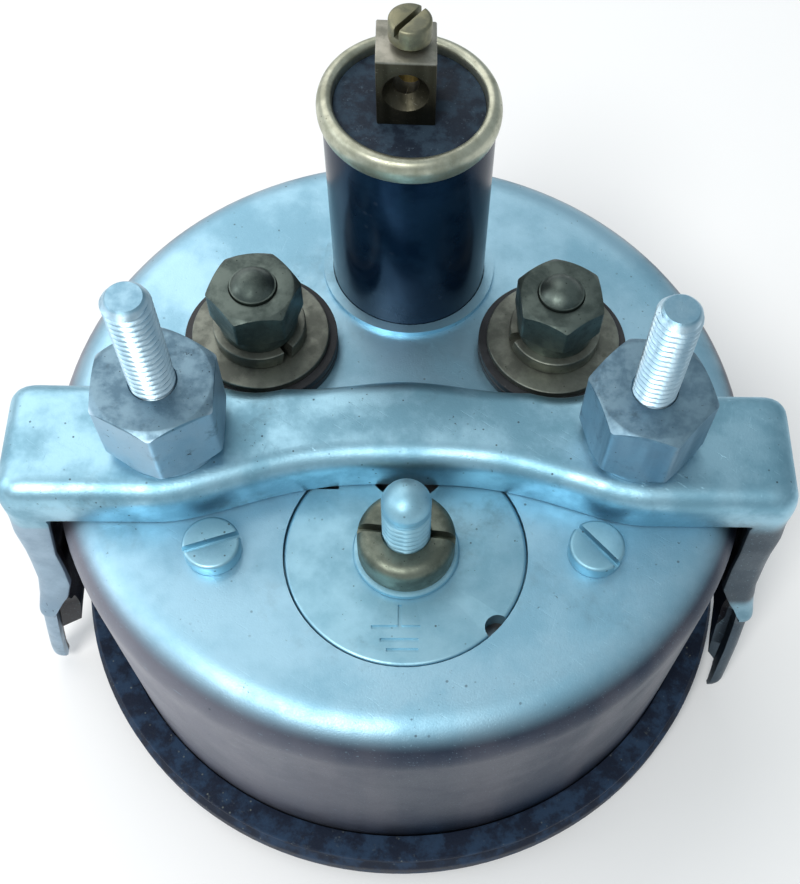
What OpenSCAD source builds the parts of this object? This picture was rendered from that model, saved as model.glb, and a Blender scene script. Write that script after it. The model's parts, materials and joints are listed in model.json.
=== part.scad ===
// Temperature gauge seen from its back, with a clamp bracket and a plug-in lamp holder.
// Origin: centre of the bezel's front face. +Z points out of the back of the gauge,
// +Y towards the lamp holder, +X to the right of someone who looks at the back.

/* [Case] */
// Outside diameter of the case, which passes through the panel hole
case_d = 60; // [58:0.5:64]
// Depth of the case behind the panel
case_depth = 27.4; // [26:0.1:34]
// Wall thickness of the case
case_wall = 1; // [0.8:0.1:1.2]
// Radius of the rounded rear edge of the case
case_edge_r = 4; // [2.5:0.1:5]
// Width of the flange at the open front of the case
case_flange_w = 1.5; // [1.2:0.1:1.7]

/* [Bezel and glass] */
// Width of the bezel's edge that stands out past the case
bezel_lap = 3; // [2.8:0.1:4]
// Width of the bezel's front lip inside the case's outline
bezel_lip_w = 3; // [2.5:0.1:5]
// Sheet thickness of the bezel's front lip
bezel_lip_t = 0.7; // [0.5:0.1:1]
// Thickness of the bezel's rear lip, rolled over behind the case flange
bezel_crimp_t = 0.6; // [0.5:0.1:0.9]
// Thickness of the glass
glass_t = 1.6; // [1.2:0.1:2.2]
// Thickness of the seal between glass and case flange
glass_seal_t = 0.4; // [0.3:0.1:0.8]
// Thickness of the case flange
case_flange_t = 0.7; // [0.6:0.1:1]
// Thickness of the rubber ring that seals against the panel
panel_seal_t = 1; // [0.8:0.1:1.6]

/* [Dial and pointer] */
// Space between glass and dial
dial_gap = 3.3; // [3:0.1:4]
// Thickness of the dial
dial_t = 0.8; // [0.6:0.1:1]
// Distance of the pointer's axis below the middle of the case
pivot_drop = 13; // [12.5:0.1:13.5]
// Length of the pointer from its axis
pointer_len = 26; // [18:0.5:28]
// Width of the pointer at its hub
pointer_w = 2.2; // [1.6:0.1:2.8]
// Thickness of the pointer
pointer_t = 0.4; // [0.3:0.1:0.6]
// Angle that the pointer sweeps, in degrees
sweep = 90; // [60:1:100]
// Diameter of the pointer's hub cap
hub_d = 7; // [5:0.5:8]
// Diameter of the pointer's spindle
spindle_d = 1; // [0.8:0.1:1.2]

/* [Movement] */
// Distance between the two pillars of the movement
pillar_pitch = 30.8; // [30:0.2:32]
// Diameter of a pillar
pillar_d = 5; // [4.6:0.1:5.4]
// Diameter of the shield cup round the coils
shield_d = 20; // [19.4:0.2:21]
// Diameter of the former that carries the coils
former_d = 14; // [13:0.2:14.4]
// Height of the former
former_h = 9.6; // [9:0.2:10]
// Diameter of the magnet on the spindle
magnet_d = 8; // [6:0.2:9]
// Thickness of the magnet
magnet_t = 3; // [2:0.2:3.6]
// Thickness of each coil's winding
winding_t = 0.8; // [0.6:0.1:0.9]
// Diameter of the two screws that hold the movement
movement_screw_d = 2.5; // [2:0.1:3]
// Diameter of their cheese heads
movement_head_d = 4.6; // [4:0.1:5]
// Height of their cheese heads
movement_head_h = 1.5; // [1:0.1:2]

/* [Ground stud] */
// Diameter of the disc let into the back of the case
base_disc_d = 19.6; // [18:0.2:20]
// Diameter of the ground stud and of both terminal studs
stud_d = 3.8; // [3.4:0.1:4]
// Height of the ground stud above the back of the case
ground_h = 10.2; // [8:0.1:12]
// Diameter of the ground stud's slotted round nut
ground_nut_d = 7.8; // [7:0.1:8.4]
// Height of the round nut
ground_nut_h = 3; // [2.4:0.1:3.4]
// Diameter of the washer under the round nut
ground_washer_d = 8.6; // [8:0.1:9]
// Thickness of that washer
ground_washer_t = 0.7; // [0.5:0.1:1]

/* [Terminals] */
// Distance between the two terminal studs
terminal_pitch = 25.2; // [24.8:0.2:26]
// Distance of the terminal studs above the middle of the case
terminal_y = 6.7; // [6.5:0.1:7.2]
// Height of the terminal studs above the back of the case
terminal_h = 9.7; // [9:0.1:12]
// Diameter of the black insulating washers
insulator_d = 12.6; // [11.6:0.1:12.8]
// Thickness of the black insulating washers
insulator_t = 1.5; // [1:0.1:2]
// Diameter of the brass flat washers
flat_washer_d = 11; // [9:0.1:11.5]
// Thickness of the brass flat washers
flat_washer_t = 0.7; // [0.5:0.1:1]
// Outside diameter of the split lock washers
lock_washer_d = 7.8; // [7:0.1:8.4]
// Height of the split lock washers
lock_washer_t = 1.4; // [1:0.1:1.6]
// Width across the flats of the terminal nuts
terminal_nut_af = 6.8; // [6.4:0.1:7.2]
// Height of the terminal nuts
terminal_nut_h = 4.2; // [3:0.1:4.4]
// Turn of the left terminal nut, in degrees
left_terminal_turn = 10; // [0:1:59]
// Turn of the right terminal nut, in degrees
right_terminal_turn = 35; // [0:1:59]

/* [Clamp] */
// Distance between the two clamp studs
clamp_pitch = 37.8; // [37.4:0.1:38.4]
// Distance of the clamp studs below the middle of the case
clamp_drop = 4.5; // [4:0.1:4.6]
// Diameter of the clamp studs
clamp_stud_d = 3.5; // [3:0.1:4]
// Height of the clamp studs above the back of the case
clamp_stud_h = 21.6; // [20:0.2:26]
// Width across the flats of the clamp nuts
clamp_nut_af = 9; // [8.4:0.1:9.4]
// Height of the clamp nuts, with their round washer faces
clamp_nut_h = 7.1; // [5:0.1:8]
// Turn of the left clamp nut, in degrees
left_clamp_turn = 31; // [0:1:59]
// Turn of the right clamp nut, in degrees
right_clamp_turn = 47; // [0:1:59]
// Sheet thickness of the bracket
bracket_t = 1.4; // [1.2:0.1:1.5]
// Height of the bracket's bridge above the back of the case
bridge_h = 4.4; // [4.2:0.1:5]
// Width of the bracket at its ends
bridge_w = 11; // [10.4:0.1:11.2]
// Distance by which the bridge's front edge draws back in the middle
bridge_scoop = 3.7; // [3:0.1:4]
// Radius of the bracket's rolled edges
bracket_edge_r = 1.9; // [1.6:0.1:2.2]
// Gap between the bracket's legs and the case
leg_gap = 0.9; // [0.7:0.1:1.4]
// Outward lean of the bracket's feet
foot_flare = 3.4; // [2.5:0.1:4]
// Height of the bracket's toes above the bezel's front face
toe_z = 1; // [0.6:0.1:2]

/* [Lamp holder] */
// Distance of the lamp's axis from the wall of the case
lamp_edge = 14.3; // [14:0.1:14.4]
// Outside diameter of the black lamp tube
tube_d = 13.6; // [13.2:0.1:13.7]
// Wall thickness of the lamp tube
tube_wall = 0.7; // [0.6:0.1:0.9]
// Height of the lamp tube above the back of the case
tube_h = 18.6; // [16:0.1:22]
// Depth of the lamp tube inside the case
tube_inside = 9; // [8:0.1:10]
// Wall thickness of the brass sleeve
sleeve_wall = 0.5; // [0.4:0.1:0.6]
// Radius of the sleeve's rolled brass bead
bead_r = 0.85; // [0.7:0.05:0.9]
// Thickness of the fibre disc in the sleeve
fibre_t = 1.8; // [1.4:0.1:2.2]
// Width of the square terminal block
block_w = 4.3; // [4:0.1:4.8]
// Height of the terminal block
block_h = 5.6; // [5.2:0.1:6.4]
// Diameter of the wire hole through the block
wire_hole_d = 2.2; // [1.6:0.1:2.3]
// Diameter of the wire clamp screw
wire_screw_d = 1.8; // [1.6:0.1:2]
// Diameter of the wire clamp screw's head
wire_head_d = 3.3; // [3:0.1:3.8]
// Height of the wire clamp screw's head
wire_head_h = 1.7; // [1.2:0.1:2]
// Diameter of the bulb's base
bulb_base_d = 9; // [8.6:0.1:9.2]
// Diameter of the bulb's glass
bulb_glass_d = 8.6; // [7.6:0.1:8.8]

/* [Hidden] */
// Smoothness of round shapes
$fn = 64;
// Clearance of a loose thread or a screw in its hole
thread_gap = 0.05;
// Clearance of a turning or sliding part in its bore
run_gap = 0.06;
// Depth by which a stud is relieved up to just above its nut
stud_relief = 0.2;
// Clearance of a part set into a recess
seat_gap = 0.1;
// Least gap between parts that move past each other
air = 0.3;
// Clearance round the edges of glass and dial
edge_gap = 0.4;
// Chamfer of the bezel's front edge
bezel_edge = 1.2;
// Distance of the rubber ring's edge inside the bezel's
panel_seal_inset = 0.5;
// Width of the feet of the clamp studs and the ground stud round their threads
stud_foot_w = 1.5;

case_r = case_d / 2;
bezel_r = case_r + bezel_lap;
view_r = case_r - bezel_lip_w;
flange_r = case_r + case_flange_w;
glass_r = flange_r - edge_gap;

// Levels of the stack at the front, from the bezel's face
glass_z = bezel_lip_t;
glass_seal_z = glass_z + glass_t;
flange_z = glass_seal_z + glass_seal_t;
crimp_z = flange_z + case_flange_t;
panel_seal_z = crimp_z + bezel_crimp_t;
seat_z = panel_seal_z + panel_seal_t;
rear_z = seat_z + case_depth;
inner_z = rear_z - case_wall;
dial_front_z = glass_seal_z + dial_gap;
dial_rear_z = dial_front_z + dial_t;
dial_r = case_r - case_wall - edge_gap;
pointer_z = (glass_seal_z + dial_front_z - pointer_t) / 2;

// Places on the back of the case
pivot = [0, -pivot_drop];
terminals = [[-terminal_pitch / 2, terminal_y], [terminal_pitch / 2, terminal_y]];
clamps = [[-clamp_pitch / 2, -clamp_drop], [clamp_pitch / 2, -clamp_drop]];
pillars = [[-pillar_pitch / 2, -pivot_drop], [pillar_pitch / 2, -pivot_drop]];
lamp = [0, case_r - lamp_edge];

// Movement levels, from the dial towards the back
bridge_strip_t = 1;
bridge_strip_w = 6;
bridge_strip_z = dial_rear_z + 2;
neck_d = pillar_d - 1.6;
movement_screw_reach = 5;
dial_screw_d = 2;
dial_screw_reach = 3;
plate_t = 1.6;
base_disc_t = case_wall;
base_flange_t = 0.8;
plate_z = inner_z - base_flange_t - 2.6;
former_z = plate_z - 1 - 2 * (winding_t + 0.1) - former_h;
coil_front_z = former_z - 2 * winding_t - 0.1;
coil_gap = 1.2;
shield_wall = 0.5;
shield_z = coil_front_z - coil_gap - shield_wall;
shield_h = plate_z - shield_z;
magnet_z = former_z + (former_h - magnet_t) / 2;
rotor_gap = 0.8;
bundle_w = 2;
bundle_gap = 0.9;
bearing_d = 2.4;
bearing_t = 1.4;
spindle_front = pointer_z - 0.6;
spindle_rear = plate_z + 0.9;
hub_t = 1;
hub_collar_d = 3;
hub_collar_t = 0.8;

// Terminal levels, from the back of the case
terminal_hole_d = stud_d + 2.6;
bush_flange_t = 1.2;
bush_flange_w = 1.5;
inner_nut_h = 2;
tag_t = 0.5;
tag_d = 7;
tag_w = 3.8;
tag_len = 4.4;
flat_z = rear_z + insulator_t;
lock_z = flat_z + flat_washer_t;
terminal_nut_z = lock_z + lock_washer_t;
bush_z = inner_z - bush_flange_t;
tag_z = bush_z - tag_t;
inner_nut_z = tag_z - inner_nut_h;
stud_foot_z = inner_nut_z - 0.6;

// Clamp levels and outline
bridge_top_z = rear_z + bridge_h;
clamp_nut_z = bridge_top_z;
front_y = -clamp_drop - bridge_w / 2 - 0.7;
back_y = front_y + bridge_w;
leg_in_x = case_r + leg_gap;
leg_out_x = leg_in_x + bracket_t;
flange_in_x = case_r - 1.4;
knee_z = 19;

// Lamp levels
tube_r = tube_d / 2;
tube_top_z = rear_z + tube_h;
tube_foot_z = inner_z - tube_inside;
sleeve_r = tube_r - tube_wall - run_gap;
bead_mid_r = tube_r - bead_r / 2 + 0.1;
bead_z = tube_top_z + bead_r;
fibre_top_z = bead_z + 0.1;
sleeve_in_r = sleeve_r - sleeve_wall;
block_z = fibre_top_z;
block_top_z = block_z + block_h;
wire_hole_z = block_z + 2.7;
wire_screw_lift = 0.8;
socket_wall = 0.5;
socket_r = bulb_base_d / 2 + 0.15 + socket_wall;
bulb_seat_z = tube_foot_z + 15;
bulb_base_h = 11;
bulb_base_z = bulb_seat_z - bulb_base_h;
bulb_neck_r = bulb_glass_d / 2 - 1;
bulb_neck_in = 3;
bulb_tip_z = bulb_base_z - bulb_glass_d / 2 - 3.2;
bayonet_turn = 18;
pin_r = 0.7;
pin_reach = bulb_base_d / 2 + 0.9;
pin_z = bulb_base_z + 5;
plunger_d = 3;

// Smooth step from 0 to 1
function smooth(s) = let (q = min(max(s, 0), 1)) q * q * (3 - 2 * q);

// Ring with a square cross-section
module ring(outer_r, inner_r, h) {
  difference() {
    cylinder(r = outer_r, h = h);
    translate([0, 0, -1]) cylinder(r = inner_r, h = h + 2);
  }
}

// Round bar with a chamfered top end
module chamfered_bar(r, h, c) {
  rotate_extrude() polygon([[0, 0], [r, 0], [r, h - c], [r - c, h], [0, h]]);
}

// Round bar with a domed top end
module domed_bar(r, h, dome) {
  ball = (r * r + dome * dome) / (2 * dome);
  union() {
    cylinder(r = r, h = h - dome);
    translate([0, 0, h - dome]) intersection() {
      cylinder(r = r, h = dome);
      translate([0, 0, dome - ball]) sphere(r = ball);
    }
  }
}

// Hexagon nut with chamfered corners on top and a round washer face below
module hex_nut(af, h, bore, face) {
  corner_r = af / sqrt(3);
  flat_r = af / 2;
  drop = (corner_r - flat_r) * 0.75;
  difference() {
    intersection() {
      cylinder(r = corner_r, h = h, $fn = 6);
      rotate_extrude() polygon([
        [0, 0], [flat_r, 0], [flat_r, face], [corner_r, face + drop],
        [corner_r, h - drop], [flat_r, h], [0, h]
      ]);
    }
    translate([0, 0, -1]) cylinder(d = bore, h = h + 2);
  }
}

// Cheese head with a screwdriver slot and a shank below it
module cheese_screw(head_d, head_h, shank_d, shank_len, slot_w, turn) {
  difference() {
    union() {
      rotate_extrude() polygon([
        [0, 0], [head_d / 2, 0], [head_d / 2, head_h - 0.3], [head_d / 2 - 0.3, head_h], [0, head_h]
      ]);
      translate([0, 0, -shank_len]) cylinder(d = shank_d, h = shank_len + 0.1);
    }
    rotate([0, 0, turn]) translate([-head_d, -slot_w / 2, head_h * 0.45])
      cube([2 * head_d, slot_w, head_h]);
  }
}

// Half profile of a cup that is open at the bottom and rounded at the top edge
module cup_profile(r, h, edge) {
  union() {
    square([r - edge, h]);
    square([r, h - edge]);
    translate([r - edge, h - edge]) intersection() {
      circle(r = edge);
      square([edge + 1, edge + 1]);
    }
  }
}

module case_can() {
  inner_edge = max(case_edge_r - case_wall, 0.5);
  collar_r = tube_r + 0.9;
  color("lightsteelblue") difference() {
    union() {
      translate([0, 0, flange_z]) rotate_extrude() difference() {
        union() {
          cup_profile(case_r, rear_z - flange_z, case_edge_r);
          square([flange_r, case_flange_t]);
        }
        translate([0, -1]) cup_profile(case_r - case_wall, inner_z - flange_z + 1, inner_edge);
      }
      translate([lamp.x, lamp.y, inner_z]) cylinder(r = collar_r, h = case_wall + 0.5);
    }
    translate([lamp.x, lamp.y, inner_z - 1]) cylinder(r = tube_r + seat_gap / 2, h = 5);
    translate([pivot.x, pivot.y, inner_z - 1]) cylinder(d = base_disc_d + 2 * seat_gap, h = 5);
    for (p = terminals)
      translate([p.x, p.y, inner_z - 1]) cylinder(d = terminal_hole_d + 2 * thread_gap, h = 5);
    for (p = clamps)
      translate([p.x, p.y, inner_z - 1]) cylinder(d = clamp_stud_d + 2 * thread_gap, h = 5);
    for (p = pillars)
      translate([p.x, p.y, inner_z - 1]) cylinder(d = movement_screw_d + 4 * thread_gap, h = 5);
  }
}

module bezel() {
  wall_r = flange_r + seat_gap;
  color("#1c1f26") rotate_extrude() difference() {
    polygon([
      [view_r, 0], [bezel_r - bezel_edge, 0], [bezel_r, bezel_edge],
      [bezel_r, panel_seal_z - bezel_edge / 2], [bezel_r - bezel_edge / 2, panel_seal_z],
      [case_r + seat_gap, panel_seal_z], [case_r + seat_gap, glass_z], [view_r, glass_z]
    ]);
    translate([0, glass_z]) square([wall_r, crimp_z - glass_z]);
  }
}

module panel_seal() {
  color("#20242c") translate([0, 0, panel_seal_z])
    ring(bezel_r - panel_seal_inset, case_r + seat_gap, panel_seal_t);
}

module glass_lens() {
  color([0.8, 0.9, 0.95, 0.35]) translate([0, 0, glass_z]) cylinder(r = glass_r, h = glass_t);
}

module glass_seal() {
  color("#222222") translate([0, 0, glass_seal_z]) ring(glass_r, case_r - case_wall, glass_seal_t);
}

module dial_spacer() {
  color("#17191c") translate([0, 0, glass_seal_z])
    ring(dial_r, view_r + edge_gap, dial_gap);
}

module dial_plate() {
  color("#101214") difference() {
    translate([0, 0, dial_front_z]) cylinder(r = dial_r, h = dial_t);
    translate([pivot.x, pivot.y, 0]) cylinder(r = spindle_d / 2 + 0.8, h = dial_rear_z + 1);
    for (p = pillars)
      translate([p.x, p.y, 0]) cylinder(d = dial_screw_d + 4 * thread_gap, h = dial_rear_z + 1);
  }
}

module dial_screws() {
  color("silver") for (p = pillars)
    translate([p.x, p.y, dial_front_z]) rotate([180, 0, 0])
      cheese_screw(dial_screw_d + 1.6, dial_screw_d * 0.4, dial_screw_d,
        dial_t + dial_screw_reach, 0.5, 30);
}

// Two pins that end the pointer's sweep
module pointer_stops() {
  stop_r = 9;
  stop_d = 1;
  side = asin((pointer_w / 2 + stop_d / 2 + 0.1) / stop_r);
  color("silver") for (s = [-1, 1])
    translate([pivot.x, pivot.y, pointer_z - 0.8])
      rotate([0, 0, 90 + s * (sweep / 2 + side)]) translate([stop_r, 0, 0])
        cylinder(d = stop_d, h = dial_front_z - pointer_z + 0.8);
}

module movement_frame() {
  color("#b9bcc0") difference() {
    union() {
      for (p = pillars) {
        translate([p.x, p.y, bridge_strip_z + bridge_strip_t])
          cylinder(d = pillar_d, h = inner_z - bridge_strip_z - bridge_strip_t);
        translate([p.x, p.y, dial_rear_z])
          cylinder(d = neck_d, h = bridge_strip_z + bridge_strip_t - dial_rear_z + 0.1);
      }
      translate([-pillar_pitch / 2, pivot.y - 4, plate_z]) cube([pillar_pitch, 8, plate_t]);
      translate([pivot.x, pivot.y, plate_z]) cylinder(d = shield_d, h = plate_t);
    }
    for (p = pillars) {
      translate([p.x, p.y, inner_z - movement_screw_reach - 1])
        cylinder(d = movement_screw_d + 2 * thread_gap, h = movement_screw_reach + 2);
      translate([p.x, p.y, dial_rear_z - 1])
        cylinder(d = dial_screw_d + 2 * thread_gap, h = dial_screw_reach + 2);
    }
    translate([pivot.x, pivot.y, plate_z - 1]) cylinder(d = bearing_d, h = bearing_t + 1);
  }
}

module bearing_strip() {
  color("silver") difference() {
    translate([0, 0, bridge_strip_z]) union() {
      translate([-pillar_pitch / 2, pivot.y - bridge_strip_w / 2, 0])
        cube([pillar_pitch, bridge_strip_w, bridge_strip_t]);
      for (p = pillars) translate([p.x, p.y, 0]) cylinder(d = bridge_strip_w, h = bridge_strip_t);
    }
    for (p = pillars)
      translate([p.x, p.y, 0]) cylinder(d = neck_d + 2 * thread_gap, h = inner_z);
    translate([pivot.x, pivot.y, 0]) cylinder(d = bearing_d, h = inner_z);
  }
}

// Front and rear bushes in which the spindle turns
module pivot_bearings() {
  color("goldenrod") translate([pivot.x, pivot.y, 0]) {
    translate([0, 0, bridge_strip_z])
      ring(bearing_d / 2, spindle_d / 2 + run_gap, bridge_strip_t);
    translate([0, 0, plate_z]) difference() {
      cylinder(d = bearing_d, h = bearing_t);
      translate([0, 0, -1]) cylinder(r = spindle_d / 2 + run_gap, h = spindle_rear - plate_z + 1.2);
    }
  }
}

module coil_former() {
  cavity_r = magnet_d / 2 + rotor_gap;
  color("ivory") translate([pivot.x, pivot.y, former_z]) difference() {
    union() {
      cylinder(d = former_d, h = former_h);
      for (a = [45:90:315]) rotate([0, 0, a]) translate([former_d / 2 - 1, -0.9, -1.8])
        cube([1.8, 1.8, plate_z - former_z + 1.8]);
    }
    translate([0, 0, (former_h - magnet_t) / 2 - rotor_gap])
      cylinder(r = cavity_r, h = magnet_t + 2 * rotor_gap);
    translate([0, 0, -2]) cylinder(d = spindle_d + 0.8, h = former_h + 4);
  }
}

// Two flat bundles of wire wound round the former, one on each side of the spindle
module coil_pair(inner_half, inner_h) {
  for (s = [-1, 1]) translate([0, s * (bundle_w / 2 + bundle_gap), 0]) difference() {
    cube([2 * (inner_half + winding_t), bundle_w, inner_h + 2 * winding_t], center = true);
    cube([2 * inner_half, bundle_w + 1, inner_h], center = true);
  }
}

module inner_coil() {
  color("#a4502a") translate([pivot.x, pivot.y, former_z + former_h / 2])
    coil_pair(former_d / 2 + 0.05, former_h + 0.1);
}

module outer_coil() {
  color("#b9652f") translate([pivot.x, pivot.y, former_z + former_h / 2]) rotate([0, 0, 90])
    coil_pair(former_d / 2 + winding_t + 0.15, former_h + 2 * winding_t + 0.2);
}

// Steel cup that keeps stray fields away from the coils
module magnet_shield() {
  color("#8d9094") translate([pivot.x, pivot.y, shield_z]) difference() {
    cylinder(d = shield_d, h = shield_h);
    translate([0, 0, shield_wall]) cylinder(d = shield_d - 2 * shield_wall, h = shield_h);
    translate([0, 0, -1]) cylinder(d = spindle_d + 2.4, h = 3);
  }
}

module ballast_resistor() {
  body_d = 3;
  body_len = 12;
  lead_d = 0.6;
  lead_z = tag_z - body_d / 2;
  lead_y = terminal_y - stud_d / 2 - 3;
  lead_x = terminal_pitch / 2;
  color("#6f8f5a") union() {
    translate([-body_len / 2, lead_y, lead_z]) rotate([0, 90, 0]) cylinder(d = body_d, h = body_len);
    translate([-lead_x, lead_y, lead_z]) rotate([0, 90, 0]) cylinder(d = lead_d, h = 2 * lead_x);
    for (s = [-1, 1]) translate([s * lead_x, lead_y, lead_z]) {
      sphere(d = lead_d);
      cylinder(d = lead_d, h = tag_z - lead_z);
    }
  }
}

// Straight insulated wires from the solder tags to the coils on the frame's plate
module connecting_wires() {
  wire_d = 0.7;
  color("#9a2f2f") for (s = [-1, 1]) {
    start = [s * (terminal_pitch / 2 - 1.2), terminal_y - stud_d / 2 - tag_len + 0.8,
      tag_z + tag_t + wire_d / 2];
    foot = [s * 6.4, pivot.y + 2.6, plate_z + plate_t + wire_d / 2];
    run = foot - start;
    translate(start) rotate([0, acos(run.z / norm(run)), atan2(run.y, run.x)])
      cylinder(d = wire_d, h = norm(run));
  }
}

// Flat tags under the inner nuts, to which wires and resistor are soldered
module solder_tags() {
  color("goldenrod") for (p = terminals) translate([p.x, p.y, tag_z]) difference() {
    union() {
      cylinder(d = tag_d, h = tag_t);
      translate([-tag_w / 2, -stud_d / 2 - tag_len, 0]) cube([tag_w, stud_d / 2 + tag_len, tag_t]);
    }
    translate([0, 0, -1]) cylinder(d = stud_d + 2 * thread_gap, h = 3);
  }
}

module inner_nuts() {
  color("#8f8350") for (p = terminals)
    translate([p.x, p.y, inner_nut_z])
      hex_nut(terminal_nut_af, inner_nut_h, stud_d + 2 * thread_gap, 0.2);
}

module terminal_bushes() {
  color("#2b2320") for (p = terminals) translate([p.x, p.y, bush_z]) difference() {
    union() {
      cylinder(d = terminal_hole_d + 2 * bush_flange_w, h = bush_flange_t);
      cylinder(d = terminal_hole_d, h = bush_flange_t + case_wall);
    }
    translate([0, 0, -1]) cylinder(d = stud_d + 2 * thread_gap, h = 5);
  }
}

module terminal_insulators() {
  color("#15171b") for (p = terminals)
    translate([p.x, p.y, rear_z]) ring(insulator_d / 2, stud_d / 2 + thread_gap, insulator_t);
}

module terminal_studs() {
  color("#8f8350") for (p = terminals) translate([p.x, p.y, stud_foot_z])
    domed_bar(stud_d / 2, rear_z + terminal_h - stud_foot_z, 1.3);
}

module clamp_studs() {
  foot_t = 1.4;
  free_z = clamp_nut_z + clamp_nut_h + 0.1;
  color("#c9d3da") for (p = clamps) translate([p.x, p.y, 0]) {
    translate([0, 0, inner_z - foot_t]) cylinder(d = clamp_stud_d + 2 * stud_foot_w, h = foot_t);
    translate([0, 0, inner_z]) cylinder(r = clamp_stud_d / 2 - stud_relief, h = free_z - inner_z);
    translate([0, 0, free_z])
      chamfered_bar(clamp_stud_d / 2, rear_z + clamp_stud_h - free_z, 0.5);
  }
}

module movement_screws() {
  turns = [19, -48];
  color("#bcc6cc") for (i = [0, 1]) translate([pillars[i].x, pillars[i].y, rear_z])
    cheese_screw(movement_head_d, movement_head_h, movement_screw_d,
      case_wall + movement_screw_reach, 0.6, turns[i]);
}

// Disc let into the back of the case, with a window, a slot and a locating notch
module base_disc() {
  disc_r = base_disc_d / 2;
  window_w = 6;
  notch_angle = -42;
  color("#a9c4cf") difference() {
    union() {
      translate([pivot.x, pivot.y, inner_z]) cylinder(r = disc_r, h = base_disc_t);
      translate([pivot.x, pivot.y, inner_z - base_flange_t])
        cylinder(r = disc_r + 1.4, h = base_flange_t);
    }
    translate([-window_w / 2, pivot.y + 5.4, inner_z - 2]) cube([window_w, 2.8, 5]);
    translate([-7.4, pivot.y + 5.6, inner_z - 2]) cube([1.8, 1.6, 5]);
    translate([pivot.x, pivot.y, inner_z - 2]) rotate([0, 0, notch_angle])
      translate([disc_r, 0, 0]) cylinder(r = 1.1, h = 5);
    translate([pivot.x, pivot.y, inner_z - 2]) cylinder(d = stud_d, h = 5);
  }
}

module ground_stud() {
  foot_t = 0.8;
  foot_z = inner_z - base_flange_t - foot_t;
  free_z = rear_z + ground_washer_t + ground_nut_h + air;
  color("#bcd0da") translate([pivot.x, pivot.y, 0]) {
    translate([0, 0, foot_z]) cylinder(d = stud_d + 2 * stud_foot_w, h = foot_t);
    translate([0, 0, foot_z]) cylinder(r = stud_d / 2 - stud_relief, h = free_z - foot_z);
    translate([0, 0, free_z]) domed_bar(stud_d / 2, rear_z + ground_h - free_z, 1.5);
  }
}

// Tapered blade with a short tail behind the hub
module pointer_needle() {
  tail = 6;
  color("white") translate([pivot.x, pivot.y, pointer_z]) rotate([0, 0, 90 - sweep / 2])
    difference() {
      linear_extrude(pointer_t) polygon([
        [-tail, -pointer_w * 0.7], [-tail, pointer_w * 0.7], [0, pointer_w / 2],
        [pointer_len - 2, 0.5], [pointer_len, 0], [pointer_len - 2, -0.5], [0, -pointer_w / 2]
      ]);
      translate([0, 0, -1]) cylinder(d = spindle_d, h = 3);
    }
}

module pointer_hub() {
  color("#141414") translate([pivot.x, pivot.y, pointer_z]) difference() {
    union() {
      translate([0, 0, -hub_t]) cylinder(d = hub_d, h = hub_t);
      translate([0, 0, pointer_t]) cylinder(d = hub_collar_d, h = hub_collar_t);
    }
    translate([0, 0, spindle_front - pointer_z]) cylinder(d = spindle_d, h = 5);
  }
}

module pointer_spindle() {
  color("silver") translate([pivot.x, pivot.y, spindle_front])
    cylinder(d = spindle_d, h = spindle_rear - spindle_front);
}

module magnet_rotor() {
  color("#5a5d63") translate([pivot.x, pivot.y, magnet_z])
    ring(magnet_d / 2, spindle_d / 2, magnet_t);
}

module ground_washer() {
  color("#b4ccd8") translate([pivot.x, pivot.y, rear_z])
    ring(ground_washer_d / 2, stud_d / 2 + thread_gap, ground_washer_t);
}

// Round nut with a rounded top edge and a slot across it
module ground_nut() {
  slot_w = 0.9;
  r = ground_nut_d / 2;
  edge = 0.8;
  color("#8f8a5c") translate([pivot.x, pivot.y, rear_z + ground_washer_t]) difference() {
    rotate_extrude() cup_profile(r, ground_nut_h, edge);
    translate([0, 0, -1]) cylinder(d = stud_d + 2 * thread_gap, h = ground_nut_h + 2);
    rotate([0, 0, -4]) translate([-r - 1, -slot_w / 2, ground_nut_h - 1.1])
      cube([2 * r + 2, slot_w, 2]);
  }
}

module flat_washer(p) {
  color("#93895c") translate([p.x, p.y, flat_z])
    ring(flat_washer_d / 2, stud_d / 2 + thread_gap, flat_washer_t);
}

module lock_washer(p, gap_angle) {
  color("#85794a") translate([p.x, p.y, lock_z]) difference() {
    ring(lock_washer_d / 2, stud_d / 2 + thread_gap, lock_washer_t);
    rotate([0, 0, gap_angle]) translate([0, -0.5, -1]) rotate([20, 0, 0])
      cube([lock_washer_d, 0.8, lock_washer_t + 3]);
  }
}

module terminal_nut(p, turn) {
  color("#8d8358") translate([p.x, p.y, terminal_nut_z]) rotate([0, 0, turn])
    hex_nut(terminal_nut_af, terminal_nut_h, stud_d + 2 * thread_gap, 0.5);
}

module left_flat_washer() { flat_washer(terminals[0]); }
module left_lock_washer() { lock_washer(terminals[0], -50); }
module left_terminal_nut() { terminal_nut(terminals[0], left_terminal_turn); }
module right_flat_washer() { flat_washer(terminals[1]); }
module right_lock_washer() { lock_washer(terminals[1], 195); }
module right_terminal_nut() { terminal_nut(terminals[1], right_terminal_turn); }

// Front edge of the bridge, drawn back in the middle
function bridge_front(x) = front_y + bridge_scoop * (1 - smooth(pow(min(abs(x) / 20, 1), 1.5)));
// Rear edge of the bridge, cut back round the terminals' insulating washers
relief_r = insulator_d / 2 + 0.5;
function bridge_back(x) = let (d = abs(abs(x) - terminal_pitch / 2))
  d >= relief_r ? back_y : min(back_y, terminal_y - sqrt(relief_r * relief_r - d * d));

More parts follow.
